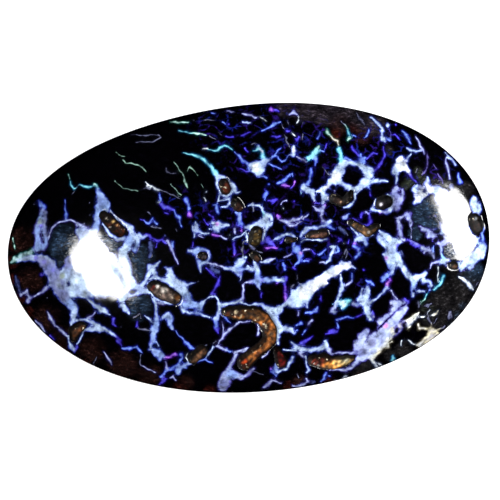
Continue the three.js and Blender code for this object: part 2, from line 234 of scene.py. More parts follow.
# Veins seen in the dome, one a line, as points "x,y,half width" in the photo's pixels.
veinStrokes = {
    # among the ice strokes, the wide line from 428,177 to 462,248 lies under the right mirrored light and
    # is in part a painted highlight
    "ice": """
        342,307,1.6 342,310,1
        443,252,2.4 446,257,3.4
        422.5,248.5,2.4
        66,275,8 76,262,8 84,250,8 92,262,10 100,275,12 86,285,12 74,290,8 104,288,10 112,276,12 \
            108,262,10
        152,268,2.5 154,272,3 156,276,2.5 160,277.5,1.5
        138,235,2.5 143,237,2 147,236,1.5
        209,229,1.4
        186,305,3 190,306,3.5
        248,305.3,1.2 255,304.3,1.4 260,304,1.7 263,305,2
        378,237,2.2 382,242,3 386,246,3
        416,281,2.5
        436,228,3 442,232,3
        394,172,3.2 397,163,3
        406,160,2.4 409,156.5,1.5 410.5,154,.9
        258,146.5,2.2
        270,215,2.2 271.5,219,1.8
        236,270,3.2 239,274,2.4
        247,266,1 251,268.5,1.8 255,270,2
        97,188,2 99,193,3 101,198,5 103,204,7 103,208,7
        98,206,3.5 97,215,3 97,222,3.5 96,228,4 90,234,5
        111,211,1.5 115,217,1.2 120,221,1.5 126,225,2.2 131,228,3.2 132,234,3.5 130,240,4 127,247,5
        103,224,1.3 107,231,1.7 112,236,1.8 118,240,2 124,238,3
        80,232,5 88,240,9 96,252,12 104,266,14 112,280,15 116,290,10
        122,252,5 124,264,6 124,276,8 128,288,6
        70,262,6 74,270,8 80,280,10 88,292,7 96,304,4
        18,260,2.5 28,258,3 36,258,4 45,260,5 52,264,5 50,271,6 54,277,6 53,284,5 60,282,8 60,290,7 \
            65,297,6
        65,297,6 70,303,5 74,309,4.5 74,315,4 73,320,3 71,326,1
        74,321,1.5 80,319.8,1.6 87,320.3,2 92,322.5,2.5 98,326,3 104,329,2.4 110,332,2.2 115,336,1.8
        84,329.8,2 90,328.5,2.6 96,329,3 102,330.5,2
        84,330,1.6 82,334,1.1 80.5,339,1.2 77,343.5,1.2
        68,336,1.2 69,341,1.5 71,346,2.5 74,350,2
        97,306,3.5 101,309,4 106,312,3.2 110,315,1.5
        128,262,2.5 132,284,4 140,288,3 146,280,2.2 149.5,272,2.8 149,265,1.8
        152,266,2.2 156,265,2.6 160,262,1.6
        135,250,2.5 138,240,3 133,238,3
        122,305,3.5 126,310,2.6 129,313.5,1.6
        105,290,8 120,296,7 132,293,4 142,291,4 150,291,3 150,284,2.5
        151,297,1 155,302,1.7 156,309,1.8 156.5,315,2 156.5,320,3
        156,324,4 155,329,4.5 153,334,3.5 153,340,3 151,345,2 150,349,1.5
        156,342,1.5 159,346.5,1.2
        150,349,2 156,352,4 160,355,4.5 160,359,2.2
        149,279.5,1.6 156,277.5,1.8 163,279.5,2.2 170,282.5,3 177,287,4 182,292.5,3.2 185,298,3.5 \
            182,303,2.4
        151,293,1 155,298.5,1.3 162,301.5,1.3 170,303.5,1.4 177,303,1.8
        166,270,3.5 171,268.5,2 170,275,4 174,280,4 180,284,3.6 186,285,3 190,284.3,1.5 195,282.6,.8
        184,289,4 188,297,4 188,303,5 193,306,5.5 199,307,4.5 203,303,2.5
        180,305,2 184,311,2.4 190,313.5,1.3 196,313,2.6 200,313.5,2 204,315.5,1.3 210,317.5,1.4
        163,318,2.2 168,315,3.5 170,319,4 170,324,3 172.5,328.5,1.6
        145,316,1 149,319,1.4 153,323,2
        178,372,3 181,367,3.4 184,366,3 188,364,1.8 192,363,1.2
        206,357.5,1.1 208,354.5,1.3 211,350.5,1.2 213,347,1
        188.5,251,2 193,251.5,2.6 197,251,3.6 203,249.3,2 207.5,252,2.2 209.5,257,2 207,262,2 \
            202,262.5,2 197.5,258.5,2.2 196,253,3
        197.5,258,2 199,264,2 200,268,2 201,272,1.2
        203,302,2 206,299.3,1 210,296.8,1.1 215,296.8,1.1 218,300,1.2 219.5,304,2 219,310,1.8 \
            218,315,2.4 216,319,3.4
        221,305,2.2 227,304,1.9 233,303,1.7 239,301.3,2.4 243,303,1.5 248,305.3,1.2
        224,268,1.7 229,268.8,1.9 234,268.5,2.8 240,264,4 243,260,3 238,261,3 246,257,1.2
        240,271,2.4 241,277,1.5 240,281,1.1
        243,268.8,1.6 248,268.8,1.3 252,270.5,2
        254,262,1.6 257,268,3.4 258,274,3 257,280,3.6 258,285,2.6 260,289,1.4
        258,280,3.2 264,280,3 270,280,3 276,279.8,2.6 281,280,2.6 284,281,1.8
        272,276.8,1 278,277.5,1.1
        261,262,1.4 265,262,2.1 268,261.3,1.8
        262,305,1.6 266,308,3 272,309.5,3.4 278,311,4.6 283,306,2.6 288,303,3.4
        268,313,3.5 273,320,5.5 277,327,5.5 278,333,3.6 277.7,340,1.9 278,344.5,1.4
        281,329,3 286,328.5,3.6 291,330,3.6 294,333,2
        291,342,1.6 295,346,2.6 299,348.5,3 305,349.5,3 312,350,2.6 320,349,3.4 326,346,3.2 \
            325.5,341,1.8
        284,350,1.4 290,350.5,1.1 297,350,2
        306,356,1.2 305.5,361,1 307,366,1.4 309,369.5,1.5 307,373,1
        276,364,1.2 275.5,369,2.3 278,372,2 282,370.3,1.2 287,369,1.2 288.5,365,1.5 291,361,2 \
            293,357.5,1.8
        344,266,4 338,269,5 333,272,6 326,278,6.5 318,283,6.5 310,288,7 303,291,7.5 297,296,6 300,300,5
        350,262,1.6 349,267,2.6 345,267.5,3
        311,289,5 307,297,5 303,301,4 309,301,3.6 307.5,307,1.6
        297,296,6 292,300,5 290,305,3 299,304,5 292,291,2.4
        330,246.8,1 334,246.3,1.6 333,251,1.8 330.5,255,1.9 329.5,260,2.2 326,263,1.6
        342,262.5,2.4 350,265,2.6 355,268.3,1.3
        340.5,274,1.2 340.5,279,1.6 342,285,2.4 342,289,3 340,293,2 338.5,297,1.6 337.5,301,1.6 \
            335.5,306,1.3 334,310,1.6
        330,311.8,1.3 334,312,2.4 337,311.5,1.2
        362,288,1.4 362,292,2 361,296,2.2 359,299.3,2.2 364,300,3.6 367,302,3 370,303,1.8
        367.5,288,2.6 367.5,293,3.2 366,299,3.4 364,304,3.6 359.5,303.5,1.5
        367,307,3.4 367.5,312,3.4 369,317,3 370.5,319.5,2.4
        370,303,1.8 374,300,1.5 379,296.3,1.5 384,291.5,1.7 387,288,2.4
        392,273,2.6 392,267,4 390,260,5 387,257,4 392,250,5 396,258,5.5 401,265,3.8 405,271,3.3 \
            409,277,3
        384,255,1.8 388,261,2.6
        356,240,2.4 360,239,3.2 364,240,3 366,244,2.4 363,236,2.4 361,231,1
        351,227,.9 354,231,1.4 358,235,2 361,239,2.6 366,238.3,1.8 370,236.3,1.2 373,234.7,.9
        379,231,1.6 383,234,3 387,237,4 392,241,4.5 399,241.5,3 391,247,4.4
        337,178,5 333,182,6 340,183,3.6 345,187,3.4 351,188.5,3.2 356,189.5,3.2 361,186,3.6 \
            365,181,4.2 369,176,4.5 366,171.5,4
        357,192,1.4 372,181.5,2.4 378,181,2.4 384,180.5,2 388,181,1.2
        326,188,3.5 330,186,4 325,194,3.6 326,199,3 323,202.3,1.2 321,189.5,2.4 317,191.5,1.5
        341,171,4.5 335,175,5 341,165,4 346,163,3.4
        348,163,3 355,163.5,2.4 361,166,3.4 367,168,3 373,170.5,2.6
        396,183,1.4 398,163,3.5 400,159,4 401,166,5.5 396,171,3.6 404,165,4 408,171,2.6
        304,184.5,2 303,187.5,3.2 308,190,3.6 312,191,3 313,196,2.8 314,200,2
        301,191,1.4 301,194,1
        301,236.5,2 304,231.5,2.8 307,228.5,2.6 311,227.2,1.8 316,228.3,2.2 320,227,1.8 \
            325,225.3,2.2 330,222,3
        301,242,1.2 303.5,239.8,1.3 308,239.8,.8 316,239.8,.9 322,240.6,1.4 327,239,1.5
        273,240.3,1.4 277,238.3,2 281,236.3,2 286,234,1.7 291,233.6,1.7 295,237,1.5
        246,227,2.2 252,227,3.4 258,224.3,4.2 264,222,4.4 269,224,3.6 272,222.5,1.6
        265,216.5,3.8 268,214,2.6 266,229,2.4 264,234,1.7 263,239,1.8
        262,205,.8 262.5,210,1.2 263,214,2
        248,206,1.1 254,205,1.4 259,205.3,1.4 263,208,1.2
        249,165,2.4 256,165.5,5 262,164.5,4 265.5,160.5,3.4 269,159.6,1.8
        254,170,3.4 258,171.5,5.2 261,169,4.4
        243,121.8,1.2 248,123.3,1.2 251,122.6,.9
        294,146.5,2 294,151,2.8 293,154.4,2.6 289.5,154.8,1.3
        371,117,1.3 375,120.5,1.6 379,124.5,2 382,129,2.3 383,134,2.2 383,139,3 385,142.5,1.4
        388,125.3,2.2
        407,148.3,1.2 411,150.5,1.6 416,151.5,1.8 420,150.5,1.2
        445,152.5,1 449,156.5,1.7 453,161,1.7 456,165.5,1.3
        213,223,2.4 218,223,2.6 223,224.2,2 229,225.2,1.2 215,228,3.6 218,230,2.6
        246,232,1.2 241,235.3,1.2 237,237.2,1.2 233,239.3,1.2
        247,234,1.3 247.5,240,1.7
        217,176,3 222,177,2.4 227,179.5,2.4 231,183.5,2.8 234,188.5,3.4 236,192.3,2 240,192,.8
        231,193,2.6 227,195.7,1.6 222,195,1.3 218.5,190,1.3 217,184,1.7 216.5,179,2
        219,196,1.4 218.5,201,1 230,199,1.2 230,203,1.6 227,207,1.4 222,206.8,1.4
        196,222,1.2 196.5,226,3 196,230.5,3.2 200,231.5,1.8 204,233.5,1.3 209,233.3,1
        192.5,225.5,1 194,231,1.4 194,237,1.6
        375.5,200,1.4 374,205,1.4 371.5,209,1.8 377,211,1.6 386,212.5,2.4 392,208.5,2.8 393,202,3 \
            392,197,2.2 387.5,194.5,1.5
        344,207.3,1.6 349,206.5,1.8 353,203,1.6 355,199,1.4 355,195,1.4 354,191.5,1.6
        426,273,2.2 422,276.3,3.6 416,277.5,3.4 411,279,2.6 414,284,3 413,290,2.6 413,296,2
        424,281,3.2 429,281.5,2.4 432,286,1.8 418,291.3,1.5 424,292,1.3
        404,266,2 407,272,2.6 410,277,3
        416,196,3 420,200,3 415,203,2.4 424,195,4 414,190,3 417,185,1.6
        428,177.5,1.6 427,184,2.6 429,190,4 436,190,5 442,197,8 448,205,9 452,215,10 455,225,9 \
            458,236,9 462,248,8
        441,247,1.6 443,252,3 445,258,4.4 448,263,3.6 441,262,2.2
        459,264,3 461,270,1.8 466,262,5 473,258,6 480,254,6 482,248,5 470,268,2.4
        474,200,4 474,208,4 479,206,3 470,235,4 474,242,5 479,238,1.6
        348.5,304,1
        333,252,.8""",
    "white": """
        229.8,235.5,1.1
        372,360,2 375,365,2 379,368,1.5
        203,149,.8 207,148.5,1.2
        205.8,192,1.1
        203.5,198,1 206,201,1
        293,133.7,1.6 295,135.5,.8
        260,117.3,1.2 263,118.8,1.2 266,121,.7
        299,117,1.1 299,121,.8 297,123,.9
        145,182,.6 148,185,1.1 153,187.5,1.5 158,190,1.8
        408,340,1 411,342.5,1.4 414,344.5,1.2
        408,325,2.2 412,321.5,2.3 417,316,1.8 418,313,1.3
        428,312,1.3 430,309.5,.9
        421,317,1.4 424,316.3,.9
        432,315.3,1.2 436,313,1.9 438,311,1
        458,276,1.2 463,279,1.8 468,283,2.3 471,287,2.3 473,290,1.4
        438,267,.9 438,274,.8 438,281,.7
        346,377,2.2 341,379.5,.9 335,381,.7
        379,363,1.2 382.5,366,1.1
        187.5,353.5,1 186,357,.9 188,361,1
        401,345,1.2 402,341,.9
        157,202.5,.9 160,202.3,.8
        283.5,208.5,.9
        344,243.3,1
        253,242,1.6""",
    "lilac": """
        281,204.5,.8 282.5,201,.6 287,200.5,.8
        335.5,302,1 334,308,1.8 332,311,2.6 335,312,2
        431,236,2.2 435,238,1.8 437,243,1.6 441,243,1.8 446,240,2
        430,268,1 432,263,1.4 437,262,2
        433,236,2.2 436,239,2
        449,235,1.6 445,240,1.8 441,246,1.8
        411,241,1.6 416,244,1.6 420,245.5,1
        422.5,247.5,2.4
        429,247,1.6 430,251,1.6
        221,236,1.6 226,239,1.4
        199,236,1.1 203,238,.8
        158,303,2.2 163,304,1.8
        217,346,1.6 222,348,1.6 226,350,1.8
        257,323,1.1 259,329,1.2 258,335,1.6
        300,353,2.4 303,356,2
        346,286,1.3 349,283,1.4 352,280,1.2
        366,212,1.6 368,214,1.4
        371,338,3 374,334,2
        356,343,3 357,349,2.5
        353,303,2.5 357,305,2.2
        343,218,2.2 347,216,2
        77,225,1.8
        296,156.5,1.1 300,158,1.2 304,160.5,1.6 306,161.5,1.4
        334.5,190,1.3 336,193,1.7
        303,219,1.1 306,216,1 308,213.5,.8
        235,229,1.8 235,233,1.6
        320,262,1.1 324,262.5,1.4
        279,219,1.4 283,221,1.8 287,222,1.8
        388,318,5 384,322,4.6 390,323,6 395,320,5 400,315,4 404,309,4.4
        394,303,4 399,303,4 404,305,3 396,310,6 402,310,5 393,315,5
        380,321,3.4 384,328,6 382,334,6.6 390,330,5.6 396,324,4.6
        376,341,6.6 370,347,6.6 364,352,7 360,345,3.6 362,338,5.4 366,332,3.6
        361,357,5 371,354,4.6 376,350,4 382,342,4 388,337,2.6 394,334.5,2.2 400,328,2.8 404,323,2.2 \
            408,323,2
        357,362,3 352,367,2.4 346,370,2 339,369.6,1.2 331,369.6,1.2
        334,353,1.3 341,353,1.5 348,352.6,1.1 354,353,2
        329,350,3 331,354,1.6 326,346,2.6
        238,352,1.6 243,351.3,1.1 248,348,1.1 234,352.5,1.4
        236,355,2 234,359,1.8 231,364,2 229,369,2.4 226,373,3.6 224,379,4.6 223,386,5.6 228,380,4.6
        232,374,4.6 237,376,3.6 243,377.5,2.2 248,374.5,1.8 251,371,1.7 254,368,1.4
        262,358,1.1 266,354.5,1.1 269,351.5,.8
        207,263.5,1.2 213,264,1.4 219,265.5,1.4 224,267.5,1.6
        245,282.5,1.3 249,282,1.5 253,281,1.8
        243,285,1.2 243,292,1.2 243,298,1.6 240,301,2
        218,344.5,1.4 221,340,1.3 225,334,1.5 230,329,1.5 236,324.5,1.2 240,322,1 245,322,1.2 250,321,.9
        222,322,.7 223,327,.8 223,332,.7
        312,320,1.6 309,324,2
        298,312,1.1 298,316,1
        306,378,1.2 308,382,1.3 304,384,1.8 298,386.5,1.6 292,386,1
        48,241,.9 50,234,1.2 51.5,229,1.4 55,225,1 60,222,1 66,220.5,1.1 71,220,1.1 76,222.5,1.2 \
            81,225.5,1.5 86,228,2.2
        290,114.5,1.4 294,112,1.8 297,114.5,1
        416,136,.8 417.5,140,1.1 420,145,1.2 422.5,149,1.2 424,154,.8
        446,157,1.2 446,162,1.5 448,169,1.5 449,174,1.4 450,179,1.4
        289,222,2.2 294,220,2.6 299,219,1.7 303,216.5,1.2
        290,225.5,2 296,225,1.4 301,222,1.1
        396,188,3.6 394,193,3.6 398,197,3.6 399,203,3.6 396,209,3 403,197,2.4 402,190,2.2
        410,213,1.8 408,218,2.8 412,222,1.4 411,226,1 407,213,2.2
        398,221,2.6 400,226,2.6 400,232,2.4 401,238,2.4 404,240,1.8
        396,217.5,1.1 402,217.5,1.3 407,214.5,2
        423,229,2.6 428,231,2.8 431,235,2.8 427,237,1.8 436,234,2.2 419,226.5,1.4
        437,244,1.2 443,244,2.4 448,241,2.4 444,236,1.4
        423,249,2 428,250,2.2 424,253,1.2
        391,291,1.2 394,295,1.2 397,299,1.4
        313,206,.9 316,209,1.7 319,209.5,2.3 322,211,2.6 323,207,1.8 321,216,1.8 323,220,1.8 326,223,2.2
        261,261.5,1.1 272,259.3,1.6 275,258.5,1.1
        291,254,1.2 287,256,1.2 284,258,.9
        303,251,1.1 306,249.5,1.1 309,249,1.4
        256,118,1.1 252,116,1 248,114.5,1.1 242,113.5,.8
        227,111,.8 231,112,.9 234,112,.7
        276,381,.8 281,383,.8 272,380,1.1 268,384.5,2 264,387.5,1.8
        166,362,1.2 166,367,1.3 168,370,1.8
        170,377.5,1.1 173,377,1.2 176,380,.7
        104,352,.9 107,357,1 110,361,1 112,365,.7
        142,366,.6 146,368,.8 150,370,.9 156,372.5,.9
        167,240,1.2 171,247,1.8 172,251,1.1 174,254,1.1 176,259,.9 178,264,.8
        57,327,1.1 61,330,1.7 65,334,1.5 67,336.5,1
        47,312,1.1 50,317,1.8 53,322,2 55,326,1.4
        36,321,1.2 39,324,1.8 42,328,1.4 45,332,.9
        19,290,1.2 21,296,1.1 27,290,1.1 28,295,1.8 30,298,2.2 27,302,1.8
        34,296,1.3 39,294,1.4 43,291.5,1.8 46,288,2
        42,210,2.4 41,216,2.4 40,221,3 38,227,3.8 37,233,3.8 38,239,3.2 38,244,3.2 37,249,3.6 \
            43,247,4 47,243,2
        88,317,1.4 92,316,1.4 95,312.5,1.2""",
    "blue": """
        317.5,307,1.6 316.5,310.5,2.4 312,311.5,1.8 309.5,312,.9
        173,242,1.5 172.5,247,1.7
        161,377,1.8 165,372,1.8 171,369,1.6 175,366,1.3
        272,372,1.8 276,376,1.4
        297,330,1.4
        306,330,1.4 303,334,1.2
        354,246,2 358,249,2.4 359,254,2 355,259,1.6
        366,280,1.5 370,282,1.8 374,285,1.3
        346,158,2.4 350,159.5,1.6
        292.5,173,1.2 293,176,1
        368,186.5,1.3 370,190,1.3
        304,261,1.4 309,261.5,1.4
        336,253,1.4 339,251,1.1
        235,152,.8 239,156,2 243,161,2 248,164.5,1.6 250,171,1.6
        268.5,184.5,1.5
        278,183.5,1.6 283,181,2.2 288,177,1.7 291,174,1.1
        264,197,1.9 267,192.5,1.8 264.5,199.5,1.2
        311,168.5,1.3 311,172,2.4 310.5,176,2 310,181,1.7 306,184.5,2.2
        315,158,3.2 316,162,2 315,165,1.4
        257,176.3,1.6 263,176.3,1.4 267,177.5,1.2
        272,157.5,1.6 275,155.5,1.3 278,155.5,.9 279,159,.9 281,161.5,1.1 285,160.5,1.1 288,156.5,1.1
        275,154,1.1 278,150.5,1.2 281,147.5,1.2
        269,164,1 274,166,1.2 278,167.5,1.1 282,169,.7
        262,131,1 266,128.5,1 271,127.5,1.2 274,124,1.9 277,123,1.7 280,122.5,.9
        320,132,1.5 319,135,1.3 317.5,138,1.6
        368.5,129,1 368.5,132,1.4 367,135,1.3 364,138,.8
        361,154,1.3 361,158,2.3 363,161,2.6 357,162,2
        353,135.5,.9 356,137,.9
        387,139,1.6 391,140,1.2
        402,131,1.6 406,135,1.9 409,140,1.7 411,143.5,1.1
        320,150,1 324,151.5,1.1
        65,200,.6 65,206,.8 66,211,1.3 66,217,1.5 66,220,1.4
        39,201,1.2 41,205,2.8 45,207,2
        153,218,1.1 151,221,1.2 149,223.5,1.4 146,223,1.1 144,220.5,1
        154,222,1.6 157,224,1.4
        159.5,195,1.6 160.5,200,1.7
        174,211,1.4 176,215,1.7 179,218,2 179.5,222,1.5 182,227,.9
        186,199,2.1 188,204,1.9 189,209,1.7
        213,205,.9 216,205,1.8 217,209,1.8 218,213,1.8
        236,212,1.4 239,214,2.8 239,219,3 240,223,2.2 243,224.5,1.3
        223,313,1 225,317,1.3 228,320.5,1.1 231,323,.7
        176,331,.7 179,335.5,1 183,339,1.3 187,344,1.7 191,347.5,1.7 194,349,1.1
        122,348,1.1 129,349,1.8 134,347,1.5 137,347,1.3 140,351,1.3 142,353,.9
        198,361.5,.9 202,360,1.2 205,359.3,1.3 208,361,1 212,362.5,.8
        181,354.5,2.2 182,358,1.7 180,361,1.4 177,366,1.8 176,371,2.2
        216,321,2.6 216,326,2.4
        225,349,1.4 230,351.5,1.4
        283,263,1.3 284.5,266,2.2 285,270,1.6
        294,242,1.4 294,247,2.8 297,250,4.2 300,254,3.2 300,259,2.1 298,263,1.4 295,265.3,1.1
        301,323,2 297,325.5,1.4
        306,313,1.2 311,312.7,1.8
        318.5,255,1.5 322,252.5,1.4 326,249,1.5
        338,249,1.8 337,246.5,1.5
        355,258,1.8 358,255,1.4 361,252,1.6
        337,320,1.4 342,318,1.4 348,317,1.2 353,318.5,1
        337,323,1.2 338,327,1.5
        326,373,1.8 324,378,1.7 321,382,1.2
        329,376,1.6
        347,217.5,1.8 343,219,1.4 349,214,1.5
        326,224,2.2 330,227,1.9 334,229,1.4
        484,228,1.2 482,234,1.6 483,241,2 486,246,1.2
        458,173,1.2 458.5,178,2 460,182,2.4
        382,281,1.8 384,278,2.8 387,275,3.2
        352,273,1.4 352,277,1.2 352,281,1.1
        290,174.5,1.3
        357,304,2.2
        430,290,1.4
        434,246,1 433,252,1.4
        222,122,1.2 225,123.5,.8
        212,113,.8 215,113.5,.9
        307,214.3,1.3
        363,161,2.4 365,157,1.4""",
    "violet": """
        217,329,2.2 218,333,1.3
        118,341,1.8 121,345,1.4
        162,205,2.3 165,207,2.3 170,208,1.9 174,210.5,1.5
        165,213,1.1 168,213.5,1.1
        141,219.5,.9 144,220,1
        152,238,1.4 149,235.3,1.5 146,234.6,1.2 156,240.5,1.2 160,240,1.2 163,239,1.2 165,243,1.3
        157,243.5,1.2 156,247,1.1
        234,243,1.5 234,248,1.5 235,253,1.7
        236,224.3,1.2 242,227,1.2
        209,214,1.1 213,217,1.4
        204,220,.9 208,225,.9
        193,243,1.1 193,246,1.2
        206,268,.8 210,272,.9 214,276,1 217,278,.9
        220,276,1.1 219,281,1.6 217,285,1.7 214,290,1.3 212,293.5,1.5 215,294,1.2
        261.5,293,1 261,297,.7
        286,278,1.9 285,283,1.6 285.5,292,1 286.5,295.5,1.1
        262,242,2 267,241,3 271,243,2.6 274,245,1.6 268,238.5,1.8
        280,243.5,1.3 283,240,1.2
        293,267,1.6 295,269,1.3
        312,251,1.3 315,254,1.3
        311,259,1.4 306,259.5,1.3
        320,297,2.1 321,301,1.4
        302,343,2 306,340.5,1.4 310,338,1.4 313,336.5,1.1
        334,331,1.9 330,330.5,1.5 337,331.5,1.6 326,334,1.1
        357,316.5,1.2 361,315,1.2
        374,317,1.6 372.5,312,1.3
        358,248,1.4 357,251,1.7
        339,238.5,1.5 341,240,1.4 338,241.5,1.3
        349,240,.7 348,244,.7
        364,269.5,1.5
        369,213.5,1.4 370,218,1.5 371,222,1.4 367,225.8,1.3 362.5,225.7,1.1 359,223,1.1 \
            355.5,220.3,1.3 353,218.8,.9
        362,213.5,1.4 361,218,1.2
        370,192,1.2 371,196,1.2
        319,203.3,1.1 315,203.5,.9
        268,200.5,1.2 273,200.8,1.8 277,199.6,1.2 272,203.5,.9
        294,201.5,1.4
        264.5,189,.9
        292,187,1.1 290,188.7,.9
        352,147,1.5 355,151.5,1.3 358,155,1.5
        384,149,1.4 383,147,.9 385,153.5,1.1 384,157,1.1 382,161,1.2 379,166,1.5 375,170,1.7
        367,159,.9 370,156,1.3 374,153,1.3 377,153.5,.9
        326.5,144,1.5 325,148.5,.9
        272,136.5,1 277,137,1.4 280,136,1.2
        286.5,131,1.4 290,130.5,1.5
        295,139,1.2 297,141,1.5 299,137,1.4
        248,152,1.3 245,148.5,1.2
        275,110,1.6 279,111.5,1.2
        229,124.2,1.2
        396,124.5,1.4
        389,130,.6 391,135,.8 395,134,.8 397,137,.9 400,140,.8
        412,243,1.8 416,246.3,1.4 420,246,1.1 408,240,1.3
        113.5,319,1.8 113,323,1.7 116,326,1
        115,336.3,1.7 120,339.5,1.6
        137,322,1.6 137,326,1.6
        41.5,275,1.8
        74,352,1.4 77,347,1.8
        164,375,1.4 162,382,1.6 160,384.5,1.2 166,379,1.6
        226,136.5,1.1 233,137,1
        241,136,.9 246,133.5,.9 250,132.5,.9
        240,169,.7 246,171.5,.8 249,172,.7
        409,173,1.6 411.5,177.5,2 416,182,.9
        408,302,1.8 405,299,1.2
        432,241,.9
        464,270,1.6
        50,335,1.1 54,339,1.1
        136,292,1.8 141,293,1.8""",
    "pink": """
        279,217,2 277,215,1.1
        282,185.3,1.2 285.5,185.8,1.7 289,186,.9
        294.5,182,1.3 294,185,.9
        189.5,214,2.1 190,216,2.1
        235,255,1.3
        285.5,287,1.5 285,298,1.5 286.5,301,1.5
        271,368,1.6
        276.5,247.5,1.6 265.5,248.3,1.4
        241,231,1.4
        213,235,1.5 219,236,1.4
        175,354.5,2 170,356.5,1.4 165,357.5,1.4
        271,109.5,2.1
        354.5,243.5,1.8
        386,258,2.4
        387,325.5,3.4
        387,284,2.6 390,281,2
        277,283,1.4
        384,212.5,1.3 380,213,1.3
        325,205,1.4
        224,381,3.4
        313.7,202,1.1
        214,220.5,1""",
    "turquoise": """
        338,301,1 341,303,3 345,301.5,2.6 350,300,1.6
        208,150,.7 213,150.5,.9 218,150.8,1.2 219,148,1.2 222,147,1.2 225,145,1.1 229,147,1 233,150,.7
        190,154,1.3 196,155.5,1.4 202,158.5,1.5 207,162.5,1.8 211,167,2.3 215,172,2.8 217,176,2.4
        183,153,.8 190,154,1.3
        179,131,1.1 184,131.7,.9 192,133,1.1
        258,148,2 262,151,2.2 262.5,156,2.6 265,159,2.6
        253,150.5,.8 257,150,1.5
        316,151,3.2 313,155,4 309,158,3.2
        339,149,2.6 340.5,153,2 340.5,157,2.4 341,161.5,3.2
        348,130,1.6 349,134.5,1.8
        343,302.5,3.4 343,307,2.4 349,302,2 340,300.5,1.2
        333,304,.6
        443,276,1.8 442,281,1.9 439,285,1.5 434,289.5,1.1
        427,294,1.3 425,298,1.5
        393,357,2 393,360,2.5
        80,185,1.1 84,186.5,1.6 88,187.5,1.4 92,186,1.3
        70.5,181,.7 71,185,.9 73.5,188.5,1.1 76,188,.9""",
    "green": """
        192,133,1.1 200,134,1.4 206,135,1.1
        170,121.5,.8 180,122.5,1.1 188,122,1.2
        94.5,184,1.6 97,187,1.9
        326.5,130.5,2 330,135.5,1.4
        345,125,1.1 347,128,1.4
        349.5,138,1.8 347.5,141,1.2
        422,302,1.4 425,299,1.2
        319,147,1.8 316,150,2.6
        20,255.5,2.2 26,253.5,2.2 31,251.5,2.8 12,262,1.8 15,258,2.2
        40,217,1.8 40,220.5,2
        68,174,.7 70,179,.7
        13,238,.7 14,245,.8 15,249,.7""",
    "cream": """
        417,315.8,1.3 410.6,319.6,1.4 405.5,323.5,1.1 399,325,1.3 392.7,330,1.1 390.5,335,1 385,339,1.3
        435.6,313.4,1.7 433,315.4,1.3
        374,357,1.6 380,350,2.4 386,343,2.4 391,338,2
        430,329,2.4 435,331,2.6 430,337,2.6
        394,332,1.5 401,326,1.5 408,320,1.7 415,315,1.5 419,312,1
        392,335,1.3 389,341,1.3 384,347,1.5 378,353,1.7 373,358,1.6
        388,347,1.8 389,343,1.2
        392,342,1.2
        408,329,1.6 410,326,1.3
        330,135.5,1.3 334,139,1.3 337,141,1.4 338,144.5,1.3
        418,324,1.2 419,328,1.9 426,328.5,1.5 431,331,3 431,337,4.6 425,342,4.6 419,345.5,2.2 \
            437,334,2.6
        96,294,3 90,289,2""",
    "cloud": """
        411,227,1 412,232,1 411,238,1
        429,249,1.8 430,253,1.4
        432,254,2 434,258,1.6
        436,226,3 442,226,3 446,231,2.5
        427,215,.9 430,218,1.1 431,222,1
        435,217,2.2
        436,222,2.4 441,226,2.6
        419,187,2.4 422,189,2.4
        451,186,2.6 452,189,2
        44,262,6 52,270,6 60,282,8
        45,212,2 45,220,2.2 44,228,2.6 45,236,2.6 47,243,2""",
    "haze": """
        16,276,1.6 17,284,2 20,292,2
        150,243,2.5 151,250,2.5 150,257,2
        165,236,1.4
        212,268,2.5 218,272,2
        340,228,2 345,233,2
        401,251,1.2 404,256,1.4
        313,382,2.2""",
    "dusk": """
        427,153,1.1 428,158,1.1 427,163,.8 427,168,.8 424,172,1.1 422,175,1.1
        434,165,.7 436,168.5,.8
        438,174,1 441,179,1 443,183,.9""",
    "sage": """
        116,152,0.7 120,155.5,0.6 125,156.5,0.5
        122,160,0.6 126,163.2,0.8 132,163.6,0.8 138,165,0.9 142,167,1 146,171.5,1
        174,162,0.4 177,166,0.6 180,170.5,0.8 182,173,0.9 184,178,1.2 186,184,1.4 187,188,1.4
        187,171,0.6 190,166.3,0.8 193,169.5,0.5 198,176,0.6
        115,181,0.7 119,185,0.6 123,188,0.7 128,189,0.5 133,190,0.6 138,191,0.8
        171,184,0.6 174,188,0.7 178,192.5,0.8 181,195.5,0.6
        201,184,0.6 203.5,188,0.6""",
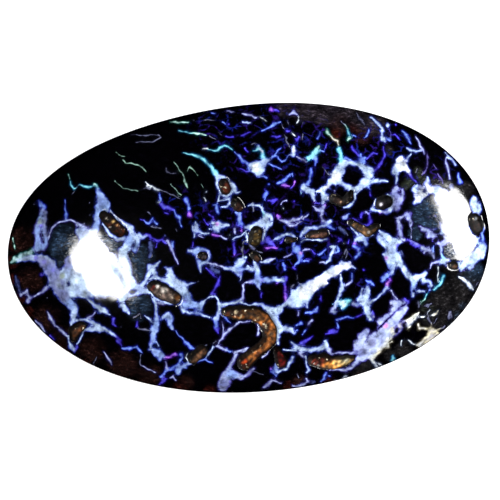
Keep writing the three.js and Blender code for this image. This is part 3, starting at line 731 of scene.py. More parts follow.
    "dim": """
        427.3,312,.6 430,321,.5 433,324.7,.5 437.6,318.3,.5
        424,306,.5 428,306.8,.5 431,303,.4
        213,343,1 216,341,1
        418,303,1.8 419,307,1.6
        427,305,1.6 431,304,1.2
        451,311,1.5 452,318,1.5
        77.5,186,1
        89.5,203,.8
        90,215,1
        84,223,.9
        449,312,1.6 449,318,1.8
        437,330,1.1 440,329,1.2 445,326,1.1
        243,244,1.1 242,250,1.2 243,256,1
        251,246,2.2 254,249,1.8
        257,251,.8 262,253,1
        297,275,1 297,279,1
        299,283,1.3 303,284.5,1.3
        291,286.5,1.6 293.5,285,1.2
        252,145,.9 255,143,.8
        341,228,1 345,231,.9 348,235,.8
        390,132,1 391,137,1.4
        131,134.5,.6 145,135.5,.7 158,134.5,.7 161,137,.7 158,139.5,.7 151,142,.8 136,142,.8
        194,120.5,.8
        202,119.5,.7 214,120.5,.9
        210,136,.8 216,139.5,.7
        218,132,.5 222,135,.6
        166,168,.9 167,172,1.2 171,173,.7 176,173.5,.7
        166,191.5,.7 170,194,.7 176,196,.8 180,199,.5
        142,189.5,.6 146,187.5,.8 150,189,.8
        160,190,.8 165,191.5,.6 168,193,.7
        75,191,.5 72,194,.5
        34,204,.9
        148,212,.9 151,215,.7
        161,228,.9 151,227,1.1
        176,229,.7 177,231,.8
        322,167,.6 326,171,.8 329,175,1
        341,121,.9 345,125,1
        356,113,1 360,119,1.6 365,124,1.3
        288,120,.7 288.5,125,.9
        303,122,.6 302,125,.5
        282,124.5,.8 284,128,.8
        284,135,.6 287,138,.9 286,140.5,.9 288,144,1 289.5,147,.9
        303,134,.7 302.5,139,.8
        253,202,.7 253,211,.8
        278,210,.7
        244,242,.9
        252,371,.6 258,373,.6 263,374.5,.6
        97,357,.7 95,361,.8 93,364.5,.8
        141,355,.7 140,362,.7 141,366,.7
        139,328.5,1.1 144,329.5,1 149,330.5,1.2
        133,318,.7 140,313,.7 141,318,.6
        121,327,.8
        198,347,.9 203,346.5,.9 207,345,.7
        198,281.5,.6
        297,374,.7 299,378,.6
        427,318,.7 430,322,.8 432,325,.7
        437,319,.6
        479,282,.8 476,285,1
        418,168.5,1 416,173,.8
        344,254,1.4 346,249,.8 348,252,.8 346,258,.7
        342,257,.7
        47,298,.8""",
}

# Islands of ironstone inside the wider opal: x, y, half length, half width, turn in degrees.
islands = """
    190.5,309.5,3.6,1.3,0 397,330,3.4,2.1,70 404,325,2.8,1.6,55 285,337,5,2.8,15 293,338.5,3.6,2.6,10
    284.5,344.5,5.2,3.4,15 289,317,6.6,8,0 334,282,5.6,3.8,10 110,301.5,7.4,4.6,-12 114,311,5.6,3.4,0
    337.5,186,1.5,1.5,0 333,187.5,2.3,2.3,0 329.5,192,3.6,2.6,0 340,191.5,4.4,5.4,20
    423,287,6.4,3.4,15 414,291,1.6,1.2,0 97,301,7,1.8,25
    161.5,273,4.4,4.2,0 340,143.5,1.2,1.2,0 375.5,207,0.4,0.4,0 386.5,133,2.4,3,20
    405,322.5,1.2,1,0 132,291.5,2.6,1.4,-10 227,228.5,5,1.7,-18 217,233.5,3.6,0.9,5
    203,256,4.6,4.4,0 475.5,224,6.6,10.6,-8 452,265,5,3.9,0 383,203,7.2,6.8,0
    424,211,9,6,10 433,222,7,5,40 422,221,9,5,-10 449,252,6,6,50 425,241,3.6,4.6,-20
    436,240,3,2.4,-30 437,231,3.4,2,-20 415,233,4,4.6,0"""

# Hair cracks that cut the veins, one a line, as points "x,y,half width".
cracks = """
    406,303,.25 399,309,.4 392,315,.35 384,323,.35 378,329,.2"""

# Nodules with corners that cut the veins, one a line, as corners "x,y".
nodules = """
    311,299 317,295.5 320,295 319,298 315,301 311,308.5 309,308.5 309.5,304
    158,269 163,267.5 166,271 165.5,275 161,277.5 157.5,274"""


# How the traced veins are softened and joined.
veinShape = {
    "margin": 7.0,            # pixels from its edge over which a stroke still tints
    "wobble": 0.5,            # pixels that the veins wander from their traced points
    "taper": 0.75,            # share of their width that fine veins keep at their ends
    "fine": 1.7,              # half width below which an end tapers
    "blend": 0.7,             # pixels over which two tints run together
    "rounding": 1.0,          # pixels by which a nodule's corners are rounded
    "reach": 50.0,            # distance given to places far from any vein
}


# Numbers from rows such as "1,2,3 4,5,6", as an array with one row a point.
def readPoints(text):
    return np.array([[float(value) for value in point.split(",")] for point in text.split()])


# The radius is stretched by 1 + sin 2t (lean + leanAbove sin t) + shoulder (1 - cos 4t) + twist sin 4t.
def outlineFactor(angle):
    leaning = stone["lean"] + stone["leanAbove"] * np.sin(angle)
    square = stone["shoulder"] * (1 - np.cos(4 * angle)) + stone["twist"] * np.sin(4 * angle)
    return 1 + np.sin(2 * angle) * leaning + square


# How far out a point lies, 0 in the middle and 1 on the outline.
def shareOut(x, y):
    angle = np.arctan2(y / stone["halfWidth"], x / stone["halfLength"])
    return np.hypot(x / stone["halfLength"], y / stone["halfWidth"]) / outlineFactor(angle)


# The dome rises from the girdle by its height times the root of 1 - share to the power of fullness.
def domeHeight(share):
    rise = stone["thickness"] - stone["girdleTop"]
    return stone["girdleTop"] + rise * np.sqrt(np.clip(1 - share ** stone["domeFullness"], 0, 1))


# Steps from points to the nearest place on a tapering stroke from a to b, and its half width there.
def strokeSteps(x, y, a, b):
    alongX, alongY = b[0] - a[0], b[1] - a[1]
    lengthSquared = alongX ** 2 + alongY ** 2 + 1e-9
    t = np.clip(((x - a[0]) * alongX + (y - a[1]) * alongY) / lengthSquared, 0, 1)
    return x - a[0] - t * alongX, y - a[1] - t * alongY, a[2] + t * (b[2] - a[2])


# Pairs of neighbouring points on a row of points; a lone point becomes a dot.
def strokePairs(points):
    if len(points) == 1:
        return [(points[0], points[0])]
    return list(zip(points[:-1], points[1:]))


# Each hollow is a bowl with steep sides: its depth times the root of 1 - (distance share)^2, with
# small lumps on its floor. Returns the drop, how deep inside it is from 0 to 1, and its colour.
def carveHollows(x, y):
    drop = np.zeros_like(x)
    inside = np.zeros_like(x)
    colour = np.zeros(x.shape + (3,))
    lumps = 0.5 + 0.25 * np.sin(21 * x + 6 * y) + 0.25 * np.sin(-7 * x + 19 * y + 2)
    for depth, floorColour, text in hollows.values():
        near = np.full_like(x, 9.0)
        for a, b in strokePairs(readPoints(text)):
            stepX, stepY, half = strokeSteps(x, y, a, b)
            near = np.minimum(near, np.hypot(stepX, stepY) / half)
        bowl = np.clip(1 - np.clip(near, 0, 1) ** 2, 0, 1) ** 0.5
        here = bowl > inside
        inside = np.where(here, bowl, inside)
        drop = np.maximum(drop, depth * bowl * (0.82 + 0.18 * lumps))
        colour = np.where(here[..., None], np.array(floorColour), colour)
    return drop, inside, colour


# The pixel of the photo in which a point of the stone is seen, by the camera's perspective.
def photoPixel(x, y, z):
    centre = photo["size"] / 2
    cameraX = (centre - photo["centreX"]) * photo["pixel"]
    cameraY = (photo["centreY"] - centre) * photo["pixel"]
    nearer = photo["cameraHeight"] / (photo["cameraHeight"] - (z - photo["girdle"]))
    pixelX = centre + (x - cameraX) * nearer / photo["pixel"]
    pixelY = centre - (y - cameraY) * nearer / photo["pixel"]
    return pixelX, pixelY


# Below the rim the pattern runs on down the side, square to the outline, as far as the side falls.
# Returns the places and how far each has run.
def unrollSide(pixelX, pixelY, z):
    fall = np.clip(stone["girdleTop"] + stone["rimFall"] - z, 0, None) / photo["pixel"]
    outX = (pixelX - photo["centreX"]) / stone["halfLength"] ** 2
    outY = (pixelY - photo["centreY"]) / stone["halfWidth"] ** 2
    reach = np.hypot(outX, outY) + 1e-9
    return pixelX + fall * outX / reach, pixelY + fall * outY / reach, fall


# sRGB as the eye picks it, to the linear light that the shader wants.
def toLinear(colour):
    colour = np.asarray(colour, dtype=float)
    return np.where(colour <= 0.04045, colour / 12.92, ((colour + 0.055) / 1.055) ** 2.4)


# How far a point lies inside a shape with straight sides and rounded corners, less than 0 outside.
def insideShape(x, y, corners, rounding):
    middle = corners.mean(axis=0)
    reach = np.hypot(*(corners - middle).T)[:, None]
    corners = middle + (corners - middle) * np.maximum(reach - rounding, 0) / reach
    near = np.full_like(x, 1e9)
    inside = np.zeros(x.shape, dtype=bool)
    for a, b in zip(corners, np.roll(corners, -1, axis=0)):
        stepX, stepY, _ = strokeSteps(x, y, (*a, 0), (*b, 0))
        near = np.minimum(near, np.hypot(stepX, stepY))
        slope = (b[0] - a[0]) / (b[1] - a[1] + 1e-12)
        inside ^= ((a[1] > y) != (b[1] > y)) & (x < a[0] + (y - a[1]) * slope)
    return np.where(inside, near, -near) + rounding


# The points wander a little, so that no stroke keeps a straight edge.
def wanderOff(x, y, amount):
    sideways = 0.6 * np.sin(0.55 * x + 0.31 * y + 1) + 0.5 * np.sin(-0.42 * x + 0.73 * y + 2.3)
    upward = 0.6 * np.sin(0.37 * x - 0.61 * y + 3) + 0.5 * np.sin(0.77 * x + 0.35 * y + 0.7)
    return x + amount * sideways, y + amount * upward


# Which points lie between two corners of an upright box, given their order from left to right.
def pointsInside(y, order, sortedX, low, high):
    first, last = np.searchsorted(sortedX, [low[0], high[0]])
    band = order[first:last]
    return band[(y[band] > low[1]) & (y[band] < high[1])]


# How deep each point lies in a nodule or a crack that cuts the veins, in pixels of the photo. An
# oval nodule is 1 less the distance share, times its half width; the others go by their outlines.
def cutNodules(x, y, order, sortedX):
    cut = np.full_like(x, -9.0)
    for islandX, islandY, halfLong, halfShort, turn in readPoints(islands):
        cosine, sine = np.cos(np.radians(turn)), np.sin(np.radians(turn))
        along = ((x - islandX) * cosine + (y - islandY) * sine) / halfLong
        across = (-(x - islandX) * sine + (y - islandY) * cosine) / halfShort
        cut = np.maximum(cut, (1 - np.hypot(along, across)) * min(halfLong, halfShort))
    for line in cracks.strip().splitlines():
        for a, b in strokePairs(readPoints(line)):
            stepX, stepY, width = strokeSteps(x, y, a, b)
            cut = np.maximum(cut, width - np.hypot(stepX, stepY))
    for line in nodules.strip().splitlines():
        corners = readPoints(line)
        low, high = corners.min(axis=0) - 8, corners.max(axis=0) + 8
        band = pointsInside(y, order, sortedX, low, high)
        cut[band] = np.maximum(cut[band], insideShape(x[band], y[band], corners, veinShape["rounding"]))
    return cut


# For every point, the step to the middle of the nearest vein and that vein's half width, in pixels
# of the photo. The two tints are means over the strokes near, weighted by exp(-distance / blend).
def traceVeins(x, y, order, sortedX):
    near = np.full_like(x, veinShape["reach"])
    step = np.full(x.shape + (2,), veinShape["reach"])
    half = np.ones_like(x)
    weight = np.full_like(x, 1e-30)
    core = np.zeros(x.shape + (3,))
    edge = np.zeros(x.shape + (3,))
    for name, text in veinStrokes.items():
        coreTint, edgeTint = tints[name]
        for line in text.strip().splitlines():
            points = readPoints(line)
            ends = points[[0, -1], 2]
            points[[0, -1], 2] = np.where(ends < veinShape["fine"], ends * veinShape["taper"], ends)
            for a, b in strokePairs(points):
                margin = max(a[2], b[2]) + veinShape["margin"]
                low, high = np.minimum(a, b) - margin, np.maximum(a, b) + margin
                band = pointsInside(y, order, sortedX, low, high)
                stepX, stepY, width = strokeSteps(x[band], y[band], a, b)
                distance = np.hypot(stepX, stepY) - width
                share = np.exp(-distance / veinShape["blend"])
                weight[band] += share
                core[band] += share[:, None] * np.array(coreTint)
                edge[band] += share[:, None] * np.array(edgeTint)
                nearer = distance < near[band]
                closer = band[nearer]
                near[closer] = distance[nearer]
                step[closer] = np.stack([stepX[nearer], stepY[nearer]], -1)
                half[closer] = width[nearer]
    # away from every traced vein the tints wander between blue and lilac
    found = (weight > 1e-20)[:, None]
    bluer = (0.5 + 0.5 * np.sin(0.09 * x + 1) * np.sin(0.11 * y))[:, None]
    wild = [bluer * np.array(tints["blue"][part]) + (1 - bluer) * tints["lilac"][part] for part in (0, 1)]
    core = np.where(found, core / weight[:, None], wild[0])
    edge = np.where(found, edge / weight[:, None], wild[1])
    return step, half, core, edge


# How the patches above spread, and how strongly they tint.
patchShape = {
    "reach": 1.5,             # radii at which a patch has faded away
    "cover": 1.6,             # how soon patches that overlap cover the stone
    "opal": 0.9,              # how far a patch takes over the opal's own tint
    "webReach": 1.4,
    "webCover": 1.5,
}


# How much a round patch counts at each point: 1 - (distance / reach)^2, squared.
def patchShare(x, y, patchX, patchY, reach):
    return np.clip(1 - ((x - patchX) ** 2 + (y - patchY) ** 2) / reach ** 2, 0, 1) ** 2


# Tinted patches that run together: the tint is the mean of those near, the cover is their sum.
def spreadPatches(patches, x, y):
    total = np.full_like(x, 1e-9)
    tint = np.zeros(x.shape + (3,))
    for colour, text in patches.values():
        for patchX, patchY, radius in readPoints(text):
            share = patchShare(x, y, patchX, patchY, patchShape["reach"] * radius)
            total += share
            tint += share[:, None] * np.array(colour)
    return tint / total[:, None], np.clip(total * patchShape["cover"], 0, 1)


# Where hair-fine veins fill the gaps, as "x,y,radius" in the photo's pixels.
webPlaces = """
    215,130,22 250,125,24 285,130,26 320,135,16 240,160,18 285,165,24 330,165,14 370,150,22 400,150,18
    180,205,16 210,215,20 240,215,18 290,215,24 330,225,22 350,240,20 240,250,18 285,255,18 325,250,14
    360,285,10 420,180,14 440,170,12"""


# How plainly the hair-fine veins show, from 0 to 1: the sum of the places near.
def findWebShare(x, y):
    total = np.zeros_like(x)
    for placeX, placeY, radius in readPoints(webPlaces):
        total += patchShare(x, y, placeX, placeY, patchShape["webReach"] * radius)
    return np.clip(total * patchShape["webCover"], 0, 1)


# Small waves that hand polishing leaves, which break up the edges of the mirrored lights.
polish = {
    "longest": 2.6,           # millimetres
    "shortest": 0.5,
    "waves": 26,
    "slope": 0.02,            # typical steepness, as rise over run
    "seed": 7,
}


# The polish isn't quite true: many small waves of seeded direction, length and phase, in millimetres.
def polishWaves(x, y):
    random = np.random.default_rng(polish["seed"])
    wave = np.zeros_like(x)
    for length in np.geomspace(polish["longest"], polish["shortest"], polish["waves"]):
        turn, phase = random.uniform(0, 2 * np.pi, 2)
        along = x * np.cos(turn) + y * np.sin(turn)
        wave += length * np.sin(2 * np.pi * along / length + phase)
    return wave * polish["slope"] / (2 * np.pi * np.sqrt(polish["waves"]))


# The whole closed surface. The dome is a square grid bent onto the oval, u root(1 - v^2/2) by
# v root(1 - u^2/2), then rings carry its edge over the girdle, the bevel and the flat back.
def buildStoneMesh():
    columns, rows = stone["columns"], stone["rows"]
    u, v = np.meshgrid(np.linspace(-1, 1, columns + 1), np.linspace(-1, 1, rows + 1))
    discX, discY = u * np.sqrt(1 - v ** 2 / 2), v * np.sqrt(1 - u ** 2 / 2)
    stretch = outlineFactor(np.arctan2(discY, discX)) * stone["gridEdge"]
    gridX, gridY = stone["halfLength"] * discX * stretch, stone["halfWidth"] * discY * stretch
    index = np.arange((columns + 1) * (rows + 1)).reshape(rows + 1, columns + 1)
    border = np.concatenate([index[0, :-1], index[:-1, -1], index[-1, :0:-1], index[:0:-1, 0]])
    borderX, borderY = gridX.ravel()[border], gridY.ravel()[border]
    borderX, borderY = borderX / stone["gridEdge"], borderY / stone["gridEdge"]

    # the last bit of the dome goes down in even steps, then the girdle, bevel and back
    edgeRise = np.sqrt(1 - stone["gridEdge"] ** stone["domeFullness"])
    rises = np.linspace(edgeRise, 0, stone["rimRings"] + 1)[1:]
    shares = list((1 - rises ** 2) ** (1 / stone["domeFullness"]))
    heights = list(domeHeight(np.array(shares)))
    shares += [0.994, stone["bevelTop"], stone["backFace"], 0.5]
    heights += [(stone["girdleTop"] + stone["backBevel"]) / 2, stone["backBevel"], 0.0, 0.0]
    ringX = np.array(shares)[:, None] * borderX
    ringY = np.array(shares)[:, None] * borderY
    ringZ = np.repeat(np.array(heights)[:, None], len(border), axis=1)

    gridZ = domeHeight(shareOut(gridX, gridY))
    x = np.concatenate([gridX.ravel(), ringX.ravel(), [0.0]])
    y = np.concatenate([gridY.ravel(), ringY.ravel(), [0.0]])
    z = np.concatenate([gridZ.ravel(), ringZ.ravel(), [0.0]])
    drop, inside, hollowColour = carveHollows(x, y)
    top = np.concatenate([np.ones(gridX.size), np.zeros(ringX.size + 1)])
    ringCount = len(border)
    top[gridX.size:gridX.size + stone["rimRings"] * ringCount] = 1
    drop, inside = drop * top, inside * top
    drop = drop + polishWaves(x, y) * top * np.clip((1 - shareOut(x, y)) * 12, 0, 1)
    pixelX, pixelY = photoPixel(x, y, z)

    squares = np.stack([index[:-1, :-1], index[:-1, 1:], index[1:, 1:], index[1:, :-1]], -1)
    rings = np.vstack([border, gridX.size + np.arange(ringX.size).reshape(len(shares), ringCount)])
    nextRings = np.roll(rings, -1, axis=1)
    bands = np.stack([rings[:-1], rings[1:], nextRings[1:], nextRings[:-1]], -1)
    backMiddle = np.full(ringCount, len(x) - 1)
    fan = np.stack([rings[-1], backMiddle, nextRings[-1]], -1)
    quads = np.concatenate([squares.reshape(-1, 4), bands.reshape(-1, 4)])
    faces = quads.tolist() + fan.tolist()

    mesh = bpy.data.meshes.new("opalStone")
    points = np.stack([x, y, z - drop], -1) / 1000
    mesh.from_pydata(points.tolist(), [], faces)
    mesh.update()
    mesh.polygons.foreach_set("use_smooth", np.ones(len(faces), dtype=bool))

    # the corners of the bevel stay crisp
    ends = np.zeros(len(mesh.edges) * 2, dtype=np.int64)
    mesh.edges.foreach_get("vertices", ends)
    ends = ends.reshape(-1, 2)
    sharp = np.zeros(len(ends), dtype=bool)
    for ring in (rings[-4], rings[-3], rings[-2]):
        sharp |= np.isin(ends, ring).all(axis=1)
    crease = mesh.attributes.new("sharp_edge", "BOOLEAN", "EDGE")
    crease.data.foreach_set("value", sharp & ~np.isin(ends, rings[-5]).any(axis=1))

    layOutMap(mesh, x, y, z, np.repeat([4, 3], [len(quads), len(fan)]))
    return mesh, x, y, z, top, inside, hollowColour, pixelX, pixelY


# The dome and the sides are laid out flat from above, and the back in a smaller patch below them.
# The last two rings of faces are the back; corners says how many corners each face has.
def layOutMap(mesh, x, y, z, corners):
    spread = 1 + 0.05 * np.clip((stone["girdleTop"] - z) / stone["girdleTop"], 0, 1)
    across = x / stone["halfLength"] * spread
    upward = y / stone["halfLength"] * spread
    loops = np.zeros(len(mesh.loops), dtype=np.int64)
    mesh.loops.foreach_get("vertex_index", loops)
    backStart = len(corners) - 4 * (stone["columns"] + stone["rows"])
    onBack = np.repeat(np.arange(len(corners)) >= backStart, corners)
    mapU = np.where(onBack, 0.5 - 0.27 * x[loops] / stone["halfLength"], 0.5 + 0.445 * across[loops])
    mapV = np.where(onBack, 0.185 + 0.27 * y[loops] / stone["halfLength"], 0.68 + 0.445 * upward[loops])
    layer = mesh.uv_layers.new(name="OFBake")
    layer.data.foreach_set("uv", np.stack([mapU, mapV], -1).ravel())


# One value, colour or vector for each point of the mesh, for the material to read.
def addAttribute(mesh, name, values, kind=None):
    kind = kind or ("FLOAT" if values.ndim == 1 else "FLOAT_COLOR")
    if kind == "FLOAT_COLOR":
        values = np.concatenate([values, np.ones((len(values), 1))], axis=1)
    member = {"FLOAT": "value", "FLOAT_VECTOR": "vector", "FLOAT_COLOR": "color"}[kind]
    layer = mesh.attributes.new(name, kind, "POINT")
    layer.data.foreach_set(member, values.astype(np.float32).ravel())


# A soft step from 0 at low to 1 at high.
def rampUp(low, high, value):
    t = np.clip((value - low) / (high - low), 0, 1)
    return t * t * (3 - 2 * t)


# The colour of each hollow's floor: stains and painted glints laid over it one after another, the painted
# shade of its upper left wall, and a mottle that is the product of two bent sine waves.
def paintHollows(colour, x, y, pixelX, pixelY):
    for spotX, spotY, radius, spotColour in glintsAndStains:
        near = rampUp(radius, radius * 0.45, np.hypot(pixelX - spotX, pixelY - spotY))
        colour = colour + near[:, None] * (np.array(spotColour) - colour)
    _, lit, _ = carveHollows(x - hollowShade["reach"], y + hollowShade["reach"])
    shade = hollowShade["darkest"] + (1 - hollowShade["darkest"]) * rampUp(0.05, 0.8, lit)
    mottle = np.sin(0.75 * pixelX + 1.5 * np.sin(0.45 * pixelY))
    mottle *= np.sin(0.65 * pixelY + 1.4 * np.sin(0.4 * pixelX))
    return colour * (shade * (hollowShade["mean"] + hollowShade["mottle"] * mottle))[:, None]


# The stone with everything that its material reads, point by point.
def buildStone():
    mesh, x, y, z, top, inside, hollowColour, pixelX, pixelY = buildStoneMesh()
    print("stone mesh", len(mesh.vertices), "points", len(mesh.polygons), "faces")
    pixelX, pixelY, fall = unrollSide(pixelX, pixelY, z)
    wanderX, wanderY = wanderOff(pixelX, pixelY, veinShape["wobble"])
    order = np.argsort(wanderX)
    step, half, core, edge = traceVeins(wanderX, wanderY, order, wanderX[order])
    cut = cutNodules(wanderX, wanderY, order, wanderX[order])
    away = np.hypot(step[:, 0], step[:, 1])
    print("veins traced", int((away < half).sum()), "points inside them")
    hollowColour = paintHollows(hollowColour, x, y, pixelX, pixelY)
    patchTint, patchCover = spreadPatches(stonePatches, pixelX, pixelY)
    opalTint, opalCover = spreadPatches(opalPatches, pixelX, pixelY)
    core += patchShape["opal"] * opalCover[:, None] * (opalTint - core)
    addAttribute(mesh, "veinStep", np.pad(step, ((0, 0), (0, 1))), "FLOAT_VECTOR")
    addAttribute(mesh, "veinAway", away)
    addAttribute(mesh, "veinHalf", half)
    addAttribute(mesh, "noduleDepth", cut)
    addAttribute(mesh, "coreTint", toLinear(core))
    addAttribute(mesh, "edgeTint", toLinear(edge))
    addAttribute(mesh, "hollow", inside)
    addAttribute(mesh, "hollowTint", toLinear(hollowColour))
    addAttribute(mesh, "stoneTint", toLinear(patchTint))
    addAttribute(mesh, "stoneCover", patchCover)
    addAttribute(mesh, "webShare", findWebShare(pixelX, pixelY) * top)
    addAttribute(mesh, "polish", rampUp(0.05, 0.3, z / stone["girdleTop"]))
    addAttribute(mesh, "dome", top * rampUp(7, 2, fall))
    piece = bpy.data.objects.new("opalStone", mesh)
    bpy.context.scene.collection.objects.link(piece)
    mesh.materials.append(buildStoneMaterial())
    print("stone material built")
    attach(piece, "root")
    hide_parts("opal_stone")


# A node group with named sockets; each socket is its name, its kind and its first value.
def newGroup(name, inputs, outputs):
    group = bpy.data.node_groups.new(name, "ShaderNodeTree")
    kinds = {"float": "NodeSocketFloat", "colour": "NodeSocketColor", "vector": "NodeSocketVector"}
    for socketName, kind, value in inputs:
        socket = group.interface.new_socket(name=socketName, in_out="INPUT", socket_type=kinds[kind])
        if value is not None:
            socket.default_value = value
    for socketName, kind in outputs:
        group.interface.new_socket(name=socketName, in_out="OUTPUT", socket_type=kinds[kind])
    return group, group.nodes.new("NodeGroupInput"), group.nodes.new("NodeGroupOutput")


# Math on sockets or plain numbers; returns the result's socket.
def doMath(tree, operation, *values, clamp=False):
    node = tree.nodes.new("ShaderNodeMath")
    node.operation = operation
    node.use_clamp = clamp
    for slot, value in enumerate(values):
        if isinstance(value, bpy.types.NodeSocket):
            tree.links.new(value, node.inputs[slot])
        else:
            node.inputs[slot].default_value = value
    return node.outputs[0]


# A value carried from one range to another, smooth at both ends.
def doRange(tree, value, low, high, fromLow=0.0, toHigh=1.0, smooth=True):
    node = tree.nodes.new("ShaderNodeMapRange")
    node.interpolation_type = "SMOOTHSTEP" if smooth else "LINEAR"
    tree.links.new(value, node.inputs["Value"])
    for name, amount in (("From Min", low), ("From Max", high), ("To Min", fromLow), ("To Max", toHigh)):
        if isinstance(amount, bpy.types.NodeSocket):
            tree.links.new(amount, node.inputs[name])
        else:
            node.inputs[name].default_value = amount
    return node.outputs["Result"]


# Two colours mixed by a factor.
def doMix(tree, factor, first, second):
    node = tree.nodes.new("ShaderNodeMix")
    node.data_type = "RGBA"
    sockets = {"Factor": node.inputs[0], "A": node.inputs[6], "B": node.inputs[7]}
    for name, value in (("Factor", factor), ("A", first), ("B", second)):
        if isinstance(value, bpy.types.NodeSocket):
            tree.links.new(value, sockets[name])
        elif name == "Factor":
            sockets[name].default_value = value
        else:
            sockets[name].default_value = (*value, 1)
    return node.outputs[2]


# Noise on the object's own coordinates, in features per metre.
def doNoise(tree, place, scale, detail=3.0, roughness=0.6, stretch=None):
    if stretch is not None:
        mapping = tree.nodes.new("ShaderNodeMapping")
        mapping.inputs["Rotation"].default_value = stretch[0]
        mapping.inputs["Scale"].default_value = stretch[1]
        tree.links.new(place, mapping.inputs["Vector"])
        place = mapping.outputs["Vector"]
    node = tree.nodes.new("ShaderNodeTexNoise")
    node.inputs["Scale"].default_value = scale
    node.inputs["Detail"].default_value = detail
    node.inputs["Roughness"].default_value = roughness
    tree.links.new(place, node.inputs["Vector"])
    return node.outputs["Fac"]


# A colour times a number.
def doScale(tree, colour, amount):
    node = tree.nodes.new("ShaderNodeVectorMath")
    node.operation = "SCALE"
    tree.links.new(colour, node.inputs[0])
    tree.links.new(amount, node.inputs["Scale"])
    return node.outputs["Vector"]


# Distance to the nearest wall between cells, whose places are first pushed about by a noise.
def doCells(tree, place, cellScale, driftScale, driftDetail, push):
    drift = tree.nodes.new("ShaderNodeTexNoise")
    drift.inputs["Scale"].default_value = driftScale
    drift.inputs["Detail"].default_value = driftDetail
    tree.links.new(place, drift.inputs["Vector"])
    shift = tree.nodes.new("ShaderNodeVectorMath")
    shift.operation = "MULTIPLY_ADD"
    shift.inputs[1].default_value = (push, push, push)
    tree.links.new(drift.outputs["Color"], shift.inputs[0])
    tree.links.new(place, shift.inputs[2])
    cells = tree.nodes.new("ShaderNodeTexVoronoi")
    cells.feature = "DISTANCE_TO_EDGE"
    tree.links.new(shift.outputs["Vector"], cells.inputs["Vector"])
    tree.links.new(cellScale, cells.inputs["Scale"])
    return cells.outputs["Distance"]


# Depth inside the traced veins: half width less the length of the step to the vein's middle. The
# step crosses 0 evenly, so it stays sharp between points; where it turns over, the plain distance holds.
def buildTracedVeinGroup():
    group, source, result = newGroup(
        "tracedVein",
        [("Step", "vector", (9, 9, 9)), ("Away", "float", 9.0), ("Half", "float", 1.0),
         ("Cut", "float", -9.0)],
        [("Depth", "float")])
    length = group.nodes.new("ShaderNodeVectorMath")
    length.operation = "LENGTH"
    group.links.new(source.outputs["Step"], length.inputs[0])
    floor = doMath(group, "SUBTRACT", source.outputs["Away"], 0.75)
    away = doMath(group, "MAXIMUM", length.outputs["Value"], floor)
    depth = doMath(group, "SUBTRACT", source.outputs["Half"], away)
    uncut = doMath(group, "MULTIPLY", source.outputs["Cut"], -1.0)
    group.links.new(doMath(group, "MINIMUM", depth, uncut), result.inputs["Depth"])
    return group


# Opal between the nodules: the edge tint runs to the core tint over the vein's half width, in
# cloudy streaks, and a faint halo of the edge tint shines in the dark beside it.
def buildVeinGroup():
    group, source, result = newGroup(
        "opalVein",
        [("Place", "vector", None), ("Depth", "float", 0.0), ("Half", "float", 1.0),
         ("Core", "colour", (1, 1, 1, 1)), ("Edge", "colour", (0, 0, 1, 1)),
         ("Mist", "colour", (0.3, 0.35, 0.7, 1)), ("Ragged", "float", 0.9), ("Streaks", "float", 0.5),
         ("Halo", "float", 0.15), ("Dimmest", "float", 0.4)],
        [("Color", "colour"), ("Mask", "float"), ("Halo", "colour"), ("Glow", "float")])
    place = source.outputs["Place"]
    ragged = doMath(group, "SUBTRACT", doNoise(group, place, 3400.0, 1.5, 0.6), 0.5)
    uneven = doRange(group, source.outputs["Half"], 0.5, 2.5, 0.35, 1.0, smooth=False)
    uneven = doMath(group, "MULTIPLY", uneven, source.outputs["Ragged"])
    ragged = doMath(group, "MULTIPLY", ragged, uneven)
    depth = doMath(group, "ADD", source.outputs["Depth"], ragged)
    mask = doRange(group, depth, -0.3, 0.4)
    full = doMath(group, "MINIMUM", source.outputs["Half"], 2.1)
    start = doMath(group, "MULTIPLY", full, 0.05)
    wide = doRange(group, source.outputs["Half"], 1.0, 3.0)
    patchy = doRange(group, doNoise(group, place, 1100.0, 2.0), 0.38, 0.60, 0.6, 1.0)
    patchy = doMath(group, "MAXIMUM", patchy, wide)
    inner = doMath(group, "MULTIPLY", doRange(group, depth, start, full), patchy)
    cloud = doNoise(group, place, 1500.0, 4.0, 0.65)
    cloud = doRange(group, cloud, 0.35, 0.68, smooth=False)
    cloudy = doMath(group, "MULTIPLY", doMath(group, "SUBTRACT", 1.0, cloud), source.outputs["Streaks"])
    cloudy = doMath(group, "MULTIPLY", cloudy, doMath(group, "ADD", wide, 0.3, clamp=True))
    misty = doMix(group, cloudy, source.outputs["Core"], source.outputs["Mist"])
    colour = doMix(group, inner, source.outputs["Edge"], misty)
    light = doNoise(group, place, 1700.0, 4.0, 0.7)
    light = doRange(group, light, 0.34, 0.64, source.outputs["Dimmest"], 1.15, smooth=False)
    halo = doScale(group, source.outputs["Edge"], source.outputs["Halo"])
    group.links.new(doScale(group, colour, light), result.inputs["Color"])
    group.links.new(mask, result.inputs["Mask"])
    group.links.new(halo, result.inputs["Halo"])
    group.links.new(doRange(group, depth, -1.8, 0.1), result.inputs["Glow"])
    return group
